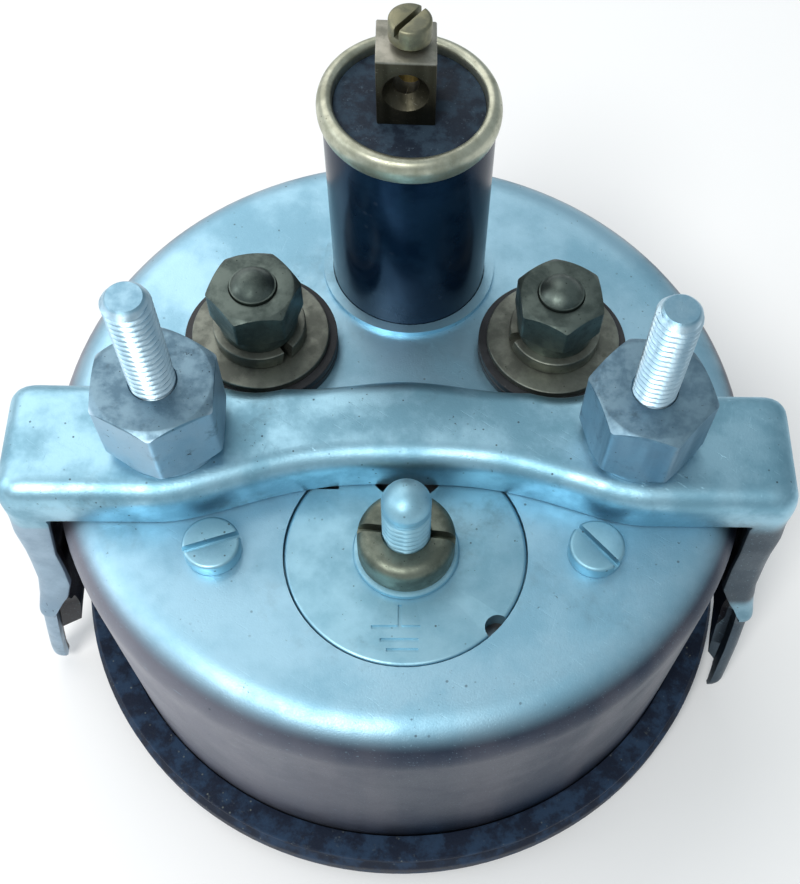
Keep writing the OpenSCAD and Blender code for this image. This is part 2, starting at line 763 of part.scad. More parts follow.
// Inside edge and outer face of the right leg's section at a height
function leg_outer(z) = leg_out_x + 0.5 * smooth((rear_z - z) / (rear_z - knee_z))
  + foot_flare * max(knee_z - z, 0) / (knee_z - toe_z);
function leg_lip(z) = z > knee_z - 1 ? flange_in_x + 1.9 * (rear_z - z) / (rear_z - knee_z)
  : min(leg_outer(z) - bracket_t - 0.12, flange_in_x + 1.9 + 3.2 * sqrt(max(knee_z - 1 - z, 0) / 4));
function leg_narrow(z) = 0.9 * smooth((6 - z) / 5);

// One ring of the channel: origin and direction in the XZ plane, depth, front, back,
// and how much shorter the rear flange is than the front one
function channel_ring(o, u, h, yf, yb, lift) = let (t = bracket_t, r = min(bracket_edge_r, h - 0.12))
  [for (q = concat(
    [[yf, 0]],
    [for (a = [0:22.5:90]) [yf + r - r * cos(a), h - r + r * sin(a)]],
    [for (a = [90:-22.5:0]) [yb - r + r * cos(a), h - r + r * sin(a)]],
    [[yb, lift], [yb - t, lift], [yb - t, h - t], [yf + t, h - t], [yf + t, 0]]
  )) [o.x + u.x * q[1], q[0], o.y + u.y * q[1]]];

corner_o = [flange_in_x, rear_z - 0.2];
corner_a = leg_outer(rear_z) - corner_o.x;
corner_b = bridge_top_z - corner_o.y;
rear_lift = case_r + 0.5 - corner_o.x;
function corner_depth(a) = pow(pow(sin(a) / corner_a, 4) + pow(cos(a) / corner_b, 4), -0.25);
leg_levels = [for (i = [0:13]) rear_z - 0.6 - i * (rear_z - 0.6 - toe_z) / 13];

// Half of the channel as rings, from the middle of the bridge to the toe
function right_rings() = concat(
  [for (i = [1:12]) let (x = i * (corner_o.x - 0.4) / 12)
    channel_ring([x, rear_z], [0, 1], bridge_h, bridge_front(x), bridge_back(x), 0)],
  [for (a = [15:15:75]) channel_ring(
    corner_o + 0.15 * [sin(a), cos(a)], [sin(a), cos(a)], corner_depth(a) - 0.15,
    front_y, back_y, rear_lift * smooth(a / 60))],
  [for (z = leg_levels) let (o = leg_lip(z), h = leg_outer(z) - o) channel_ring(
    [o, z], [1, 0], h, front_y + leg_narrow(z), back_y - leg_narrow(z),
    min(max(case_r + 0.5 - o, 0), h - bracket_t - 0.12))]
);
// Triangles across a channel ring: front flange, web and rear flange
channel_cap = concat(
  [[0, 1, 14], [0, 14, 15]],
  [for (i = [1:5]) [i, i + 1, 14]],
  [[6, 13, 14]],
  [for (i = [6:11]) [i, i + 1, 13]]
);
function mirror_ring(ring) = [for (q = ring) [-q.x, q.y, q.z]];
function backwards(list) = [for (i = [len(list) - 1:-1:0]) list[i]];

// Solid skinned over rings of equal length, whose ends the triangles of the cap close
module skin(rings, cap) {
  n = len(rings[0]);
  m = len(rings);
  points = [for (ring = rings) each ring];
  sides = [for (j = [0:m - 2], i = [0:n - 1]) let (a = j * n + i, b = j * n + (i + 1) % n)
    each [[a, b, b + n], [a, b + n, a + n]]];
  first = [for (t = cap) [t[2], t[1], t[0]]];
  last = [for (t = cap) [for (i = t) (m - 1) * n + i]];
  polyhedron(points, concat(sides, first, last), convexity = 6);
}

// Pressed channel: a bridge across the back of the case and a leg down each side
module clamp_bracket() {
  half = right_rings();
  middle = channel_ring([0, rear_z], [0, 1], bridge_h, bridge_front(0), bridge_back(0), 0);
  whole = concat(backwards([for (ring = half) mirror_ring(ring)]), [middle], half);
  arch_r = 3.6;
  color("#9fc4d3") difference() {
    skin(whole, channel_cap);
    for (p = clamps)
      translate([p.x, p.y, rear_z]) cylinder(d = clamp_stud_d + 2 * air, h = bridge_h + 2);
    translate([-case_r - 10, (front_y + back_y) / 2, toe_z + 1]) rotate([0, 90, 0])
      cylinder(r = arch_r, h = 2 * case_r + 20);
  }
}

module clamp_nut(p, turn) {
  color("#c3ced4") translate([p.x, p.y, clamp_nut_z]) rotate([0, 0, turn])
    hex_nut(clamp_nut_af, clamp_nut_h, clamp_stud_d + 2 * thread_gap, 0.7);
}

module left_clamp_nut() { clamp_nut(clamps[0], left_clamp_turn); }
module right_clamp_nut() { clamp_nut(clamps[1], right_clamp_turn); }

module lamp_tube() {
  color("#0d1014") translate([lamp.x, lamp.y, tube_foot_z])
    ring(tube_r, tube_r - tube_wall, tube_top_z - tube_foot_z);
}

// Brass sleeve that pushes into the tube, with a rolled bead on top and a lamp socket below
module lamp_sleeve() {
  shelf_z = fibre_top_z - fibre_t - 0.6;
  socket_foot_z = pin_z - 3;
  slot_half = 1;
  color("#9a8f58") translate([lamp.x, lamp.y, 0]) difference() {
    union() {
      difference() {
        union() {
          translate([0, 0, bulb_seat_z]) cylinder(r = sleeve_r, h = bead_z - bulb_seat_z);
          translate([0, 0, bead_z]) rotate_extrude() translate([bead_mid_r, 0]) circle(r = bead_r);
          translate([0, 0, socket_foot_z]) cylinder(r = socket_r, h = bulb_seat_z - socket_foot_z + 1);
        }
        translate([0, 0, bulb_seat_z + 1]) cylinder(r = sleeve_in_r, h = shelf_z - bulb_seat_z - 1);
        translate([0, 0, shelf_z + 0.6]) cylinder(r = sleeve_in_r, h = 10);
        translate([0, 0, shelf_z - 1]) cylinder(r = sleeve_in_r - 0.7, h = 4);
        translate([0, 0, socket_foot_z - 1])
          cylinder(r = socket_r - socket_wall, h = bulb_seat_z - socket_foot_z + 3);
      }
    }
    for (a = [0, 180]) rotate([0, 0, a]) {
      translate([0, -slot_half, socket_foot_z - 1])
        cube([socket_r + 1, 2 * slot_half, pin_z - socket_foot_z + 1 + pin_r + 0.3]);
      rotate([0, 0, -bayonet_turn - 13]) translate([0, 0, pin_z - pin_r - 0.3])
        rotate_extrude(angle = bayonet_turn + 13) translate([1, 0])
          square([socket_r, 2 * pin_r + 0.6]);
    }
  }
}

module fibre_disc() {
  color("#2c3646") translate([lamp.x, lamp.y, fibre_top_z - fibre_t])
    ring(sleeve_in_r - 0.05, plunger_d / 2 + 0.1, fibre_t);
}

// Square block with a wire hole across it and a threaded hole for the clamp screw
module terminal_block() {
  stem_r = plunger_d / 2;
  sink = 0.6;
  color("#857a4c") difference() {
    union() {
      translate([lamp.x - block_w / 2, lamp.y - block_w / 2, block_z])
        cube([block_w, block_w, block_h]);
      translate([lamp.x, lamp.y, fibre_top_z - fibre_t - 0.4])
        cylinder(r = stem_r, h = fibre_t + 0.5);
      translate([lamp.x, lamp.y, fibre_top_z - fibre_t - 1.2])
        cylinder(r = stem_r + 0.8, h = 1.2);
    }
    translate([lamp.x, lamp.y - block_w, wire_hole_z]) rotate([-90, 0, 0])
      cylinder(d = wire_hole_d, h = 2 * block_w);
    for (s = [-1, 1]) translate([lamp.x, lamp.y + s * (block_w / 2 - sink), wire_hole_z])
      rotate([-s * 90, 0, 0]) cylinder(d1 = wire_hole_d, d2 = wire_hole_d + 4 * sink, h = 2 * sink);
    translate([lamp.x, lamp.y, wire_hole_z])
      cylinder(d = wire_screw_d + 2 * thread_gap, h = block_h);
  }
}

module wire_clamp_screw() {
  reach = block_top_z + wire_screw_lift - wire_hole_z - wire_hole_d / 2 + 0.15;
  color("#a39a60") translate([lamp.x, lamp.y, block_top_z + wire_screw_lift])
    cheese_screw(wire_head_d, wire_head_h, wire_screw_d, reach, 0.5, 52);
}

// Pin that presses on the bulb's centre contact
module contact_plunger() {
  color("goldenrod") translate([lamp.x, lamp.y, bulb_seat_z]) union() {
    cylinder(d = plunger_d, h = 1);
    cylinder(d = plunger_d - 1.4, h = 4);
  }
}

// Coil spring between plunger and terminal block
module contact_spring() {
  wire_r = 0.25;
  coil_r = plunger_d / 2 - wire_r - 0.05;
  turns = 6;
  foot = bulb_seat_z + 1 + wire_r;
  top = fibre_top_z - fibre_t - 1.2 - wire_r;
  steps = turns * 8;
  sides = 6;
  rings = [for (i = [0:steps]) let (a = i * 45, z = foot + (top - foot) * i / steps)
    [for (j = [0:sides - 1]) let (b = j * 360 / sides, r = coil_r + wire_r * cos(b))
      [r * cos(a), r * sin(a), z - wire_r * sin(b)]]];
  color("silver") translate([lamp.x, lamp.y, 0]) skin(rings, [for (i = [1:sides - 2]) [0, i, i + 1]]);
}

module bulb_base() {
  color("#b5ab7a") translate([lamp.x, lamp.y, bulb_base_z]) difference() {
    union() {
      cylinder(d = bulb_base_d, h = bulb_base_h - 1);
      cylinder(d = plunger_d, h = bulb_base_h);
      for (a = [0, 180]) rotate([0, 0, a - bayonet_turn])
        translate([0, 0, pin_z - bulb_base_z]) rotate([0, 90, 0]) cylinder(r = pin_r, h = pin_reach);
    }
    translate([0, 0, -1]) cylinder(r = bulb_neck_r + seat_gap, h = bulb_neck_in + 2);
  }
}

module bulb_glass() {
  ball_r = bulb_glass_d / 2;
  color([0.95, 0.95, 0.9, 0.5]) translate([lamp.x, lamp.y, 0]) union() {
    translate([0, 0, bulb_tip_z + ball_r]) sphere(r = ball_r);
    translate([0, 0, bulb_tip_z + ball_r])
      cylinder(r = bulb_neck_r, h = bulb_base_z - bulb_tip_z - ball_r + bulb_neck_in);
  }
}

case_can();
bezel();
panel_seal();
glass_lens();
glass_seal();
dial_spacer();
dial_plate();
dial_screws();
pointer_stops();
movement_frame();
bearing_strip();
pivot_bearings();
coil_former();
inner_coil();
outer_coil();
magnet_shield();
ballast_resistor();
connecting_wires();
solder_tags();
inner_nuts();
terminal_bushes();
terminal_insulators();
terminal_studs();
clamp_studs();
movement_screws();
base_disc();
ground_stud();
pointer_needle();
pointer_hub();
pointer_spindle();
magnet_rotor();
ground_washer();
ground_nut();
left_flat_washer();
left_lock_washer();
left_terminal_nut();
right_flat_washer();
right_lock_washer();
right_terminal_nut();
clamp_bracket();
left_clamp_nut();
right_clamp_nut();
lamp_tube();
lamp_sleeve();
fibre_disc();
terminal_block();
wire_clamp_screw();
contact_plunger();
contact_spring();
bulb_base();
bulb_glass();
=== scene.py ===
"""Looks of a panel temperature gauge that lies face down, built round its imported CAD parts."""

import json
import logging
import math
from dataclasses import dataclass
from enum import Enum
from typing import Optional, Sequence, Union

import bmesh
import bpy
from mathutils import Matrix, Vector

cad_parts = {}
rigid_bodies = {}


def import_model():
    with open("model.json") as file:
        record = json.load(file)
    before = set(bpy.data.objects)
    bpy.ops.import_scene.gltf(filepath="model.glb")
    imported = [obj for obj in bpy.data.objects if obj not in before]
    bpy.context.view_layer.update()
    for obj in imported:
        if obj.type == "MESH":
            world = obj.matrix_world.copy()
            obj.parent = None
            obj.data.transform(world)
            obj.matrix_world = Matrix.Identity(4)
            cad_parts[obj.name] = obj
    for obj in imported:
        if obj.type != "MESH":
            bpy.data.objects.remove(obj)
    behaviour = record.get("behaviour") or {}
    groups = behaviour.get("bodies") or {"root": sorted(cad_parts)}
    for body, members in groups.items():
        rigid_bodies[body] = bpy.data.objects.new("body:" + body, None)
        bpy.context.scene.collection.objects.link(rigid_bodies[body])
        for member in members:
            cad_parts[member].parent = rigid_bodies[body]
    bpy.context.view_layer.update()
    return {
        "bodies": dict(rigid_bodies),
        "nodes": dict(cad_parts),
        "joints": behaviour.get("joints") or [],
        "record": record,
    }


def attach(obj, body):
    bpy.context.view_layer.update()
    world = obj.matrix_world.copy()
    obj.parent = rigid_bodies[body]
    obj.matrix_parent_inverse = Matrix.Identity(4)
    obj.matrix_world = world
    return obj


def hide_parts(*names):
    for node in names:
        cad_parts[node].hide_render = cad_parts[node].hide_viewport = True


# Lengths are in millimetres and heights are above the bezel's front face, unless said otherwise.
MM = 0.001
TURN = 2 * math.pi
PHOTO_W = 800
PHOTO_H = 884

# Places that several sub-assemblies share.
AXIS = (0.0, -13.0)
REAR_Z = 32.4
CLAMP_STUDS = ((-18.9, -4.5), (18.9, -4.5))
TERMINAL_STUDS = ((-12.6, 6.7), (12.6, 6.7))

# Angles between faces, in radians, and the distance under which two points are one.
SMOOTH_UNDER = math.radians(28)
SMOOTH_THREAD = math.radians(35)
SMOOTH_SHEET = math.radians(42)
SOFTEN_OVER = math.radians(38)
FLAT_UNDER = math.radians(0.5)
MERGE_UNDER = 0.002

# Chords of a rounded corner, the largest share of a side that it takes, and a bevel's chords.
CORNER_STEPS = 3
CORNER_SHARE = 0.45
BEVEL_STEPS = 2

# Sides of a rod, chords of a band, how far a cutter stands past the faces that it opens, and
# the least length of an edge.
ROD_STEPS = 48
BAND_STEPS = 60
PAST = 1.0
TINY = 0.02

# Sockets of a Mix node that mixes colours.
MIX_FACTOR, MIX_A, MIX_B, MIX_RESULT = 0, 6, 7, 2

LOG = logging.getLogger("gauge")

Point = tuple[float, float]
Place = tuple[float, float, float]
Ring = list[Place]
Colour = tuple[float, float, float]
Tint = Union[Colour, bpy.types.NodeSocket]

# Materials that are built, by the name of their finish.
MADE: dict[str, bpy.types.Material] = {}


def smooth(s: float) -> float:
    """Returns the smooth step of s from 0 to 1."""
    q = min(max(s, 0.0), 1.0)
    return q * q * (3 - 2 * q)


def arc(centre: Point, radius: float, start: float, end: float, steps: int) -> list[Point]:
    """Makes the points of an arc in a half profile.

    Args:
        centre: middle of the arc, as radius and height.
        radius: radius of the arc.
        start: first angle in degrees, from the radius axis.
        end: last angle in degrees.
        steps: number of chords.

    Returns:
        The points from start to end.
    """
    angles = [math.radians(start + (end - start) * i / steps) for i in range(steps + 1)]
    return [(centre[0] + radius * math.cos(a), centre[1] + radius * math.sin(a)) for a in angles]


def rounded(profile: Sequence[Point], radius: float) -> list[Point]:
    """Rounds the corners of a closed profile.

    Args:
        profile: corner points.
        radius: radius of the rounding, cut down on short sides.

    Returns:
        The profile with an arc at each corner.
    """
    out: list[Point] = []
    for i, corner in enumerate(profile):
        here = Vector(corner)
        before = Vector(profile[i - 1]) - here
        after = Vector(profile[(i + 1) % len(profile)]) - here
        reach = min(radius, before.length * CORNER_SHARE, after.length * CORNER_SHARE)
        a = here + before.normalized() * reach
        b = here + after.normalized() * reach
        for k in range(CORNER_STEPS + 1):
            t = k / CORNER_STEPS
            out.append(tuple(a * (1 - t) ** 2 + here * (2 * t * (1 - t)) + b * t ** 2))
    return out


def along(table: Sequence[Point], at: float) -> float:
    """Reads a table by height, on straight lines between its entries.

    Args:
        table: pairs of height and value, from the top down.
        at: height at which it is read.

    Returns:
        The value there, or that of the nearest end.
    """
    if at >= table[0][0]:
        return table[0][1]
    for (z0, v0), (z1, v1) in zip(table, table[1:]):
        if at >= z1:
            return v0 + (v1 - v0) * (z0 - at) / (z0 - z1)
    return table[-1][1]


def opaque(value: object) -> object:
    """Returns a plain colour with full alpha, and any other value as it is."""
    return (*value, 1.0) if isinstance(value, tuple) else value


class Numeric:
    """Socket that carries a number, on which Python's operators add Math nodes."""

    def __init__(self, graph: "Graph", socket: bpy.types.NodeSocket) -> None:
        """Keeps the graph and the socket."""
        self.graph = graph
        self.socket = socket

    def _math(self, operation: str, *values: "Value") -> "Numeric":
        """Adds one Math node.

        Args:
            operation: what it works out.
            values: numbers or sockets that it takes.

        Returns:
            Its result.
        """
        inputs = dict(enumerate(values))
        node = self.graph.node("ShaderNodeMath", {"operation": operation}, inputs)
        return Numeric(self.graph, node.outputs[0])

    def __add__(self, other: "Value") -> "Numeric":
        """Returns self + other."""
        return self._math("ADD", self, other)

    __radd__ = __add__

    def __sub__(self, other: "Value") -> "Numeric":
        """Returns self - other."""
        return self._math("SUBTRACT", self, other)

    def __rsub__(self, other: "Value") -> "Numeric":
        """Returns other - self."""
        return self._math("SUBTRACT", other, self)

    def __mul__(self, other: "Value") -> "Numeric":
        """Returns self * other."""
        return self._math("MULTIPLY", self, other)

    __rmul__ = __mul__

    def __abs__(self) -> "Numeric":
        """Returns the absolute value."""
        return self._math("ABSOLUTE", self)

    def most(self, other: "Value") -> "Numeric":
        """Returns the larger of two values."""
        return self._math("MAXIMUM", self, other)

    def ramp(self, low: float, high: float) -> "Numeric":
        """Adds a smooth step.

        Args:
            low: value at which it is 0.
            high: value at which it is 1, which may lie below low.

        Returns:
            The step, from 0 to 1.
        """
        first, last, a, b = (low, high, 0.0, 1.0) if low < high else (high, low, 1.0, 0.0)
        node = self.graph.node("ShaderNodeMapRange", {"interpolation_type": "SMOOTHSTEP"}, {
            "Value": self, "From Min": first, "From Max": last, "To Min": a, "To Max": b})
        return Numeric(self.graph, node.outputs["Result"])


Value = Union[float, int, Numeric]


class Graph:
    """Node tree of one material."""

    def __init__(self, name: str) -> None:
        """Makes a material with only its output node.

        Args:
            name: name of the material.
        """
        self.material = bpy.data.materials.new(name)
        self.material.use_nodes = True
        self.tree = self.material.node_tree
        self.tree.nodes.clear()
        self.output = self.tree.nodes.new("ShaderNodeOutputMaterial")

    def node(self, kind: str, settings: Optional[dict] = None,
             inputs: Optional[dict] = None) -> bpy.types.Node:
        """Adds a node of any kind.

        Args:
            kind: type name of the node.
            settings: properties to set first.
            inputs: socket name or index to a number, tuple, socket or Numeric.

        Returns:
            The node.
        """
        node = self.tree.nodes.new(kind)
        for key, value in (settings or {}).items():
            setattr(node, key, value)
        for key, value in (inputs or {}).items():
            target = node.inputs[key]
            if isinstance(value, Numeric):
                value = value.socket
            if isinstance(value, bpy.types.NodeSocket):
                self.tree.links.new(value, target)
            else:
                target.default_value = value
        return node

    def place(self, scale: Sequence[float] = (1, 1, 1), turn: float = 0.0) -> bpy.types.NodeSocket:
        """Adds the part's own coordinates.

        Args:
            scale: how much finer a pattern is along X, Y and Z.
            turn: how far it is turned about Z, in degrees.

        Returns:
            The coordinates in millimetres, turned and then scaled.
        """
        coords = self.node("ShaderNodeTexCoord")
        mapping = self.node("ShaderNodeMapping", {"vector_type": "POINT"}, {
            "Vector": coords.outputs["Object"], "Rotation": (0, 0, math.radians(turn)),
            "Scale": (1 / MM, 1 / MM, 1 / MM)})
        scaled = self.node("ShaderNodeVectorMath", {"operation": "MULTIPLY"}, {
            0: mapping.outputs[0], 1: tuple(scale)})
        return scaled.outputs[0]

    def axes(self) -> tuple[Numeric, Numeric, Numeric]:
        """Returns X, Y and Z in millimetres."""
        split = self.node("ShaderNodeSeparateXYZ", None, {0: self.place()})
        return tuple(Numeric(self, split.outputs[i]) for i in range(3))

    def noise(self, size: float, detail: float = 3.0, rough: float = 0.55,
              place: Optional[bpy.types.NodeSocket] = None) -> Numeric:
        """Returns noise whose clouds are about size millimetres across."""
        node = self.node("ShaderNodeTexNoise", None, {
            "Vector": place or self.place(), "Scale": 1 / size, "Detail": detail,
            "Roughness": rough})
        return Numeric(self, node.outputs[0])

    def cells(self, size: float) -> Numeric:
        """Returns the distance to the nearest of points about size millimetres apart."""
        node = self.node("ShaderNodeTexVoronoi", None, {
            "Vector": self.place(), "Scale": 1 / size})
        return Numeric(self, node.outputs["Distance"])

    def mix(self, factor: Value, a: Tint, b: Tint) -> bpy.types.NodeSocket:
        """Returns colour a where factor is 0 and colour b where it is 1."""
        node = self.node("ShaderNodeMix", {"data_type": "RGBA", "clamp_factor": True}, {
            MIX_FACTOR: factor, MIX_A: opaque(a), MIX_B: opaque(b)})
        return node.outputs[MIX_RESULT]

    def bump(self, height: Numeric, depth: float) -> bpy.types.NodeSocket:
        """Returns the normal of a surface with height times depth millimetres of relief."""
        node = self.node("ShaderNodeBump", None, {"Height": height, "Distance": depth * MM})
        return node.outputs["Normal"]

    def surface(self, **values: object) -> bpy.types.Material:
        """Adds the main shader and links it to the output.

        Args:
            values: numbers, colours or sockets, by socket name with underscores for blanks.

        Returns:
            The material.
        """
        inputs = {key.replace("_", " "): opaque(value) for key, value in values.items()}
        shader = self.node("ShaderNodeBsdfPrincipled", None, inputs)
        self.tree.links.new(shader.outputs[0], self.output.inputs[0])
        return self.material


@dataclass(frozen=True)
class Fall:
    """Change of tone down a piece, which paints shade, reflections and light on some finishes.

    Attributes:
        colour: colour low down, painted shade on the can's wall and the wire block's sides.
        streak: colour of the upright streaks there, painted reflections on the can's wall and the
            nuts' sides.
        top: height over which the tone is unchanged.
        foot: height under which it is changed in full.
        width: width of the streaks.
        lit: colour low down on the viewer's left, painted light, if it differs.
        lit_x: X where that colour starts and X where it is full.
    """

    colour: Colour
    streak: Colour
    top: float
    foot: float
    width: float = 5.0
    lit: Optional[Colour] = None
    lit_x: Point = (4.0, -26.0)


@dataclass(frozen=True)
class Metal:
    """Bare or plated metal.

    Attributes:
        name: name of the material.
        bright: colour of the clean metal.
        dull: colour of its clouds.
        grime: colour of specks and stains.
        rough_low: roughness of the clean metal.
        rough_high: roughness of its clouds.
        cloud: size of the clouds.
        grain: size of the grain.
        relief: depth of the grain.
        scratches: strength of the scratches.
        specks: strength of specks and stains.
        speck_size: distance between specks.
        metallic: how metallic it is.
        coat: weight of the clear coat.
        fall: change of tone down the piece, if it has one.
    """

    name: str
    bright: Colour
    dull: Colour
    grime: Colour
    rough_low: float = 0.25
    rough_high: float = 0.5
    cloud: float = 6.0
    grain: float = 0.25
    relief: float = 0.01
    scratches: float = 0.5
    specks: float = 0.5
    speck_size: float = 1.3
    metallic: float = 1.0
    coat: float = 0.0
    fall: Optional[Fall] = None

    def build(self) -> bpy.types.Material:
        """Makes the material.

        Returns:
            The material.
        """
        g = Graph(self.name)
        tone = g.noise(self.cloud, 5.0, 0.6).ramp(0.36, 0.64)
        grain = g.noise(self.grain, 2.0)
        scratch = self.scratched(g)
        spots = self.spotted(g)
        stain = g.noise(self.cloud * 1.7, 6.0, 0.7).ramp(0.56, 0.72) * 0.5 * self.specks
        colour = self.tone_down(g, g.mix(tone, self.dull, self.bright))
        colour = g.mix(stain, colour, self.grime)
        colour = g.mix(spots, colour, self.grime)
        colour = g.mix(scratch * 0.45, colour, self.bright)
        spread = self.rough_high - self.rough_low
        rough = (1 - tone) * (spread * 0.6) + grain * (spread * 0.8) + self.rough_low + spots * 0.2
        height = grain - scratch * 0.8 - spots * 0.6
        return g.surface(Base_Color=colour, Metallic=self.metallic, Roughness=rough,
                         Coat_Weight=self.coat, Coat_Roughness=0.3,
                         Normal=g.bump(height, self.relief))

    def scratched(self, g: Graph) -> Numeric:
        """Adds two sets of fine scratches that cross each other.

        Args:
            g: the material's graph.

        Returns:
            How much each point is scratched.
        """
        lines = g.noise(0.5, 2.0, 0.6, g.place((0.16, 3.2, 3.2), 35)).ramp(0.66, 0.72)
        cross = g.noise(0.5, 2.0, 0.6, g.place((3.4, 0.15, 3.4), 15)).ramp(0.68, 0.74)
        return lines.most(cross) * self.scratches

    def spotted(self, g: Graph) -> Numeric:
        """Adds round specks and crumbs of grime, both in patches.

        Args:
            g: the material's graph.

        Returns:
            How dirty each point is.
        """
        patches = g.noise(self.cloud * 0.6, 3.0).ramp(0.5, 0.62)
        specks = g.cells(self.speck_size).ramp(0.13, 0.07) * patches
        crumbs = g.noise(0.42, 2.0, 0.7).ramp(0.66, 0.74) * g.noise(3.2, 3.0).ramp(0.54, 0.64)
        return specks.most(crumbs) * self.specks

    def tone_down(self, g: Graph, colour: bpy.types.NodeSocket) -> bpy.types.NodeSocket:
        """Changes the colour down the piece, where it has a fall.

        Args:
            g: the material's graph.
            colour: colour of the clean metal and its clouds.

        Returns:
            The colour with the fall in it.
        """
        fall = self.fall
        if not fall:
            return colour
        # On the can, the nuts and the wire block this paints shade, reflection streaks and light
        # from the viewer's left.
        streaks = g.noise(fall.width, 3.0, 0.5, g.place((1, 1, 0.08))).ramp(0.38, 0.62)
        wall = g.mix(streaks, fall.colour, fall.streak)
        x, _, z = g.axes()
        if fall.lit:
            wall = g.mix(x.ramp(*fall.lit_x), wall, fall.lit)
        return g.mix(z.ramp(fall.top, fall.foot), colour, wall)


@dataclass(frozen=True)
class ChannelMetal(Metal):
    """Plated channel with painted shade on its legs, heavier on the right leg, and its legs' inner
    faces painted dark as shade.

    Attributes:
        inside: colour of the legs' inner faces, painted shade.
        soot: colour of the painted shade on the legs.
        leg_tint: colour towards which the left leg's tone goes.
        web_x: distance of a leg's outer face from the middle plane.
        face_y: Y of a leg's front face.
        leg_z: height of a leg's top.
        lobe_z: height of the lobe over the right toe, which is left lighter as a painted
            highlight.
        knee_z: height under which the left leg's front edge leans out.
        edge_lean: how far it leans out per millimetre of height.
        web_z: height under which the left leg's outer face leans out too.
        web_lean: how far it leans out per millimetre of height.
        soot_right: X where the right leg's painted shade starts and X where it is full.
        soot_left: the same for the left leg.
    """

    inside: Colour = (0.008, 0.008, 0.012)
    soot: Colour = (0.05, 0.055, 0.07)
    leg_tint: Colour = (0.36, 0.42, 0.52)
    web_x: float = 31.95
    face_y: float = -10.4
    leg_z: float = 31.4
    lobe_z: float = 15.6
    knee_z: float = 19.0
    edge_lean: float = 0.19
    web_z: float = 11.0
    web_lean: float = 0.2
    soot_right: Point = (27.0, 28.6)
    soot_left: Point = (-26.0, -28.6)

    def tone_down(self, g: Graph, colour: bpy.types.NodeSocket) -> bpy.types.NodeSocket:
        """Paints shade on both legs, heavier on the right, tints the left one and paints shade on
        the inner faces.

        Args:
            g: the material's graph.
            colour: colour of the clean metal and its clouds.

        Returns:
            The colour with the legs' tones in it.
        """
        x, y, z = g.axes()
        left = x.ramp(0.5, -0.5)
        leg = z.ramp(self.leg_z + 0.2, self.leg_z - 0.4)
        height = z.ramp(self.leg_z + 2.5, self.leg_z - 0.5)
        off_lobe = abs(z - self.lobe_z).ramp(1.0, 2.4) * 0.55 + 0.35
        # Painted shade on both legs, less on the lobe over the right toe, which stays lighter as a
        # painted highlight.
        painted_shade = x.ramp(*self.soot_right) * off_lobe + x.ramp(*self.soot_left) * 0.22
        colour = g.mix(painted_shade * height, colour, self.soot)
        colour = g.mix(leg * 0.55 * left, colour, self.leg_tint)
        # The legs' inner faces, found by their distance from the middle plane, are painted near
        # black as shade.
        lean = (self.knee_z - z).most(0) * self.edge_lean * left * y.ramp(-8.6, -9.3)
        lean = lean.most((self.web_z - z).most(0) * self.web_lean * left)
        depth = abs(x) - lean + y.ramp(-9.6, -10.2) * 1.2
        inner = depth.ramp(self.web_x + 0.1, self.web_x - 0.05) * leg
        return g.mix(inner * y.ramp(self.face_y, self.face_y + 0.2), colour, self.inside)


@dataclass(frozen=True)
class Coat:
    """Painted, moulded or rubber surface.

    Attributes:
        name: name of the material.
        base: its colour.
        cloud_tint: colour of its mottling.
        dust: colour of dust and specks.
        rough: least roughness.
        rough_spread: how much rougher it gets.
        dust_amount: strength of dust and specks.
        cloud: size of the mottling.
        speck_size: distance between specks.
        relief: depth of the grain.
        gloss: level of the plain reflection.
        sheen: tint of that reflection.
    """

    name: str
    base: Colour
    cloud_tint: Colour
    dust: Colour
    rough: float = 0.4
    rough_spread: float = 0.2
    dust_amount: float = 0.3
    cloud: float = 4.0
    speck_size: float = 1.1
    relief: float = 0.01
    gloss: float = 0.5
    sheen: Colour = (1.0, 1.0, 1.0)

    def build(self) -> bpy.types.Material:
        """Makes the material.

        Returns:
            The material.
        """
        g = Graph(self.name)
        clouds = g.noise(self.cloud, 5.0, 0.65).ramp(0.42, 0.62)
        fine = g.noise(0.22, 3.0, 0.6)
        patches = g.noise(self.cloud * 0.8, 4.0).ramp(0.45, 0.65)
        specks = g.cells(self.speck_size).ramp(0.17, 0.08) * patches * self.dust_amount
        powder = g.noise(0.6, 4.0, 0.75).ramp(0.58, 0.78) * patches * (self.dust_amount * 0.6)
        colour = g.mix(clouds, self.base, self.cloud_tint)
        colour = g.mix(specks.most(powder), colour, self.dust)
        rough = fine * self.rough_spread + clouds * (self.rough_spread * 0.5) + self.rough
        return g.surface(Base_Color=colour, Roughness=rough, Specular_IOR_Level=self.gloss,
                         Specular_Tint=self.sheen, Normal=g.bump(fine, self.relief))


@dataclass(frozen=True)
class Clear:
    """Clear glass with a faint smear."""

    name: str
    tint: Colour = (0.16, 0.20, 0.20)
    alpha: float = 0.11

    def build(self) -> bpy.types.Material:
        """Makes the material.

        Returns:
            The material.
        """
        g = Graph(self.name)
        smear = g.noise(9.0, 4.0).ramp(0.5, 0.75)
        return g.surface(Base_Color=self.tint, Roughness=smear * 0.08 + 0.03,
                         Alpha=smear * 0.05 + self.alpha, IOR=1.5)


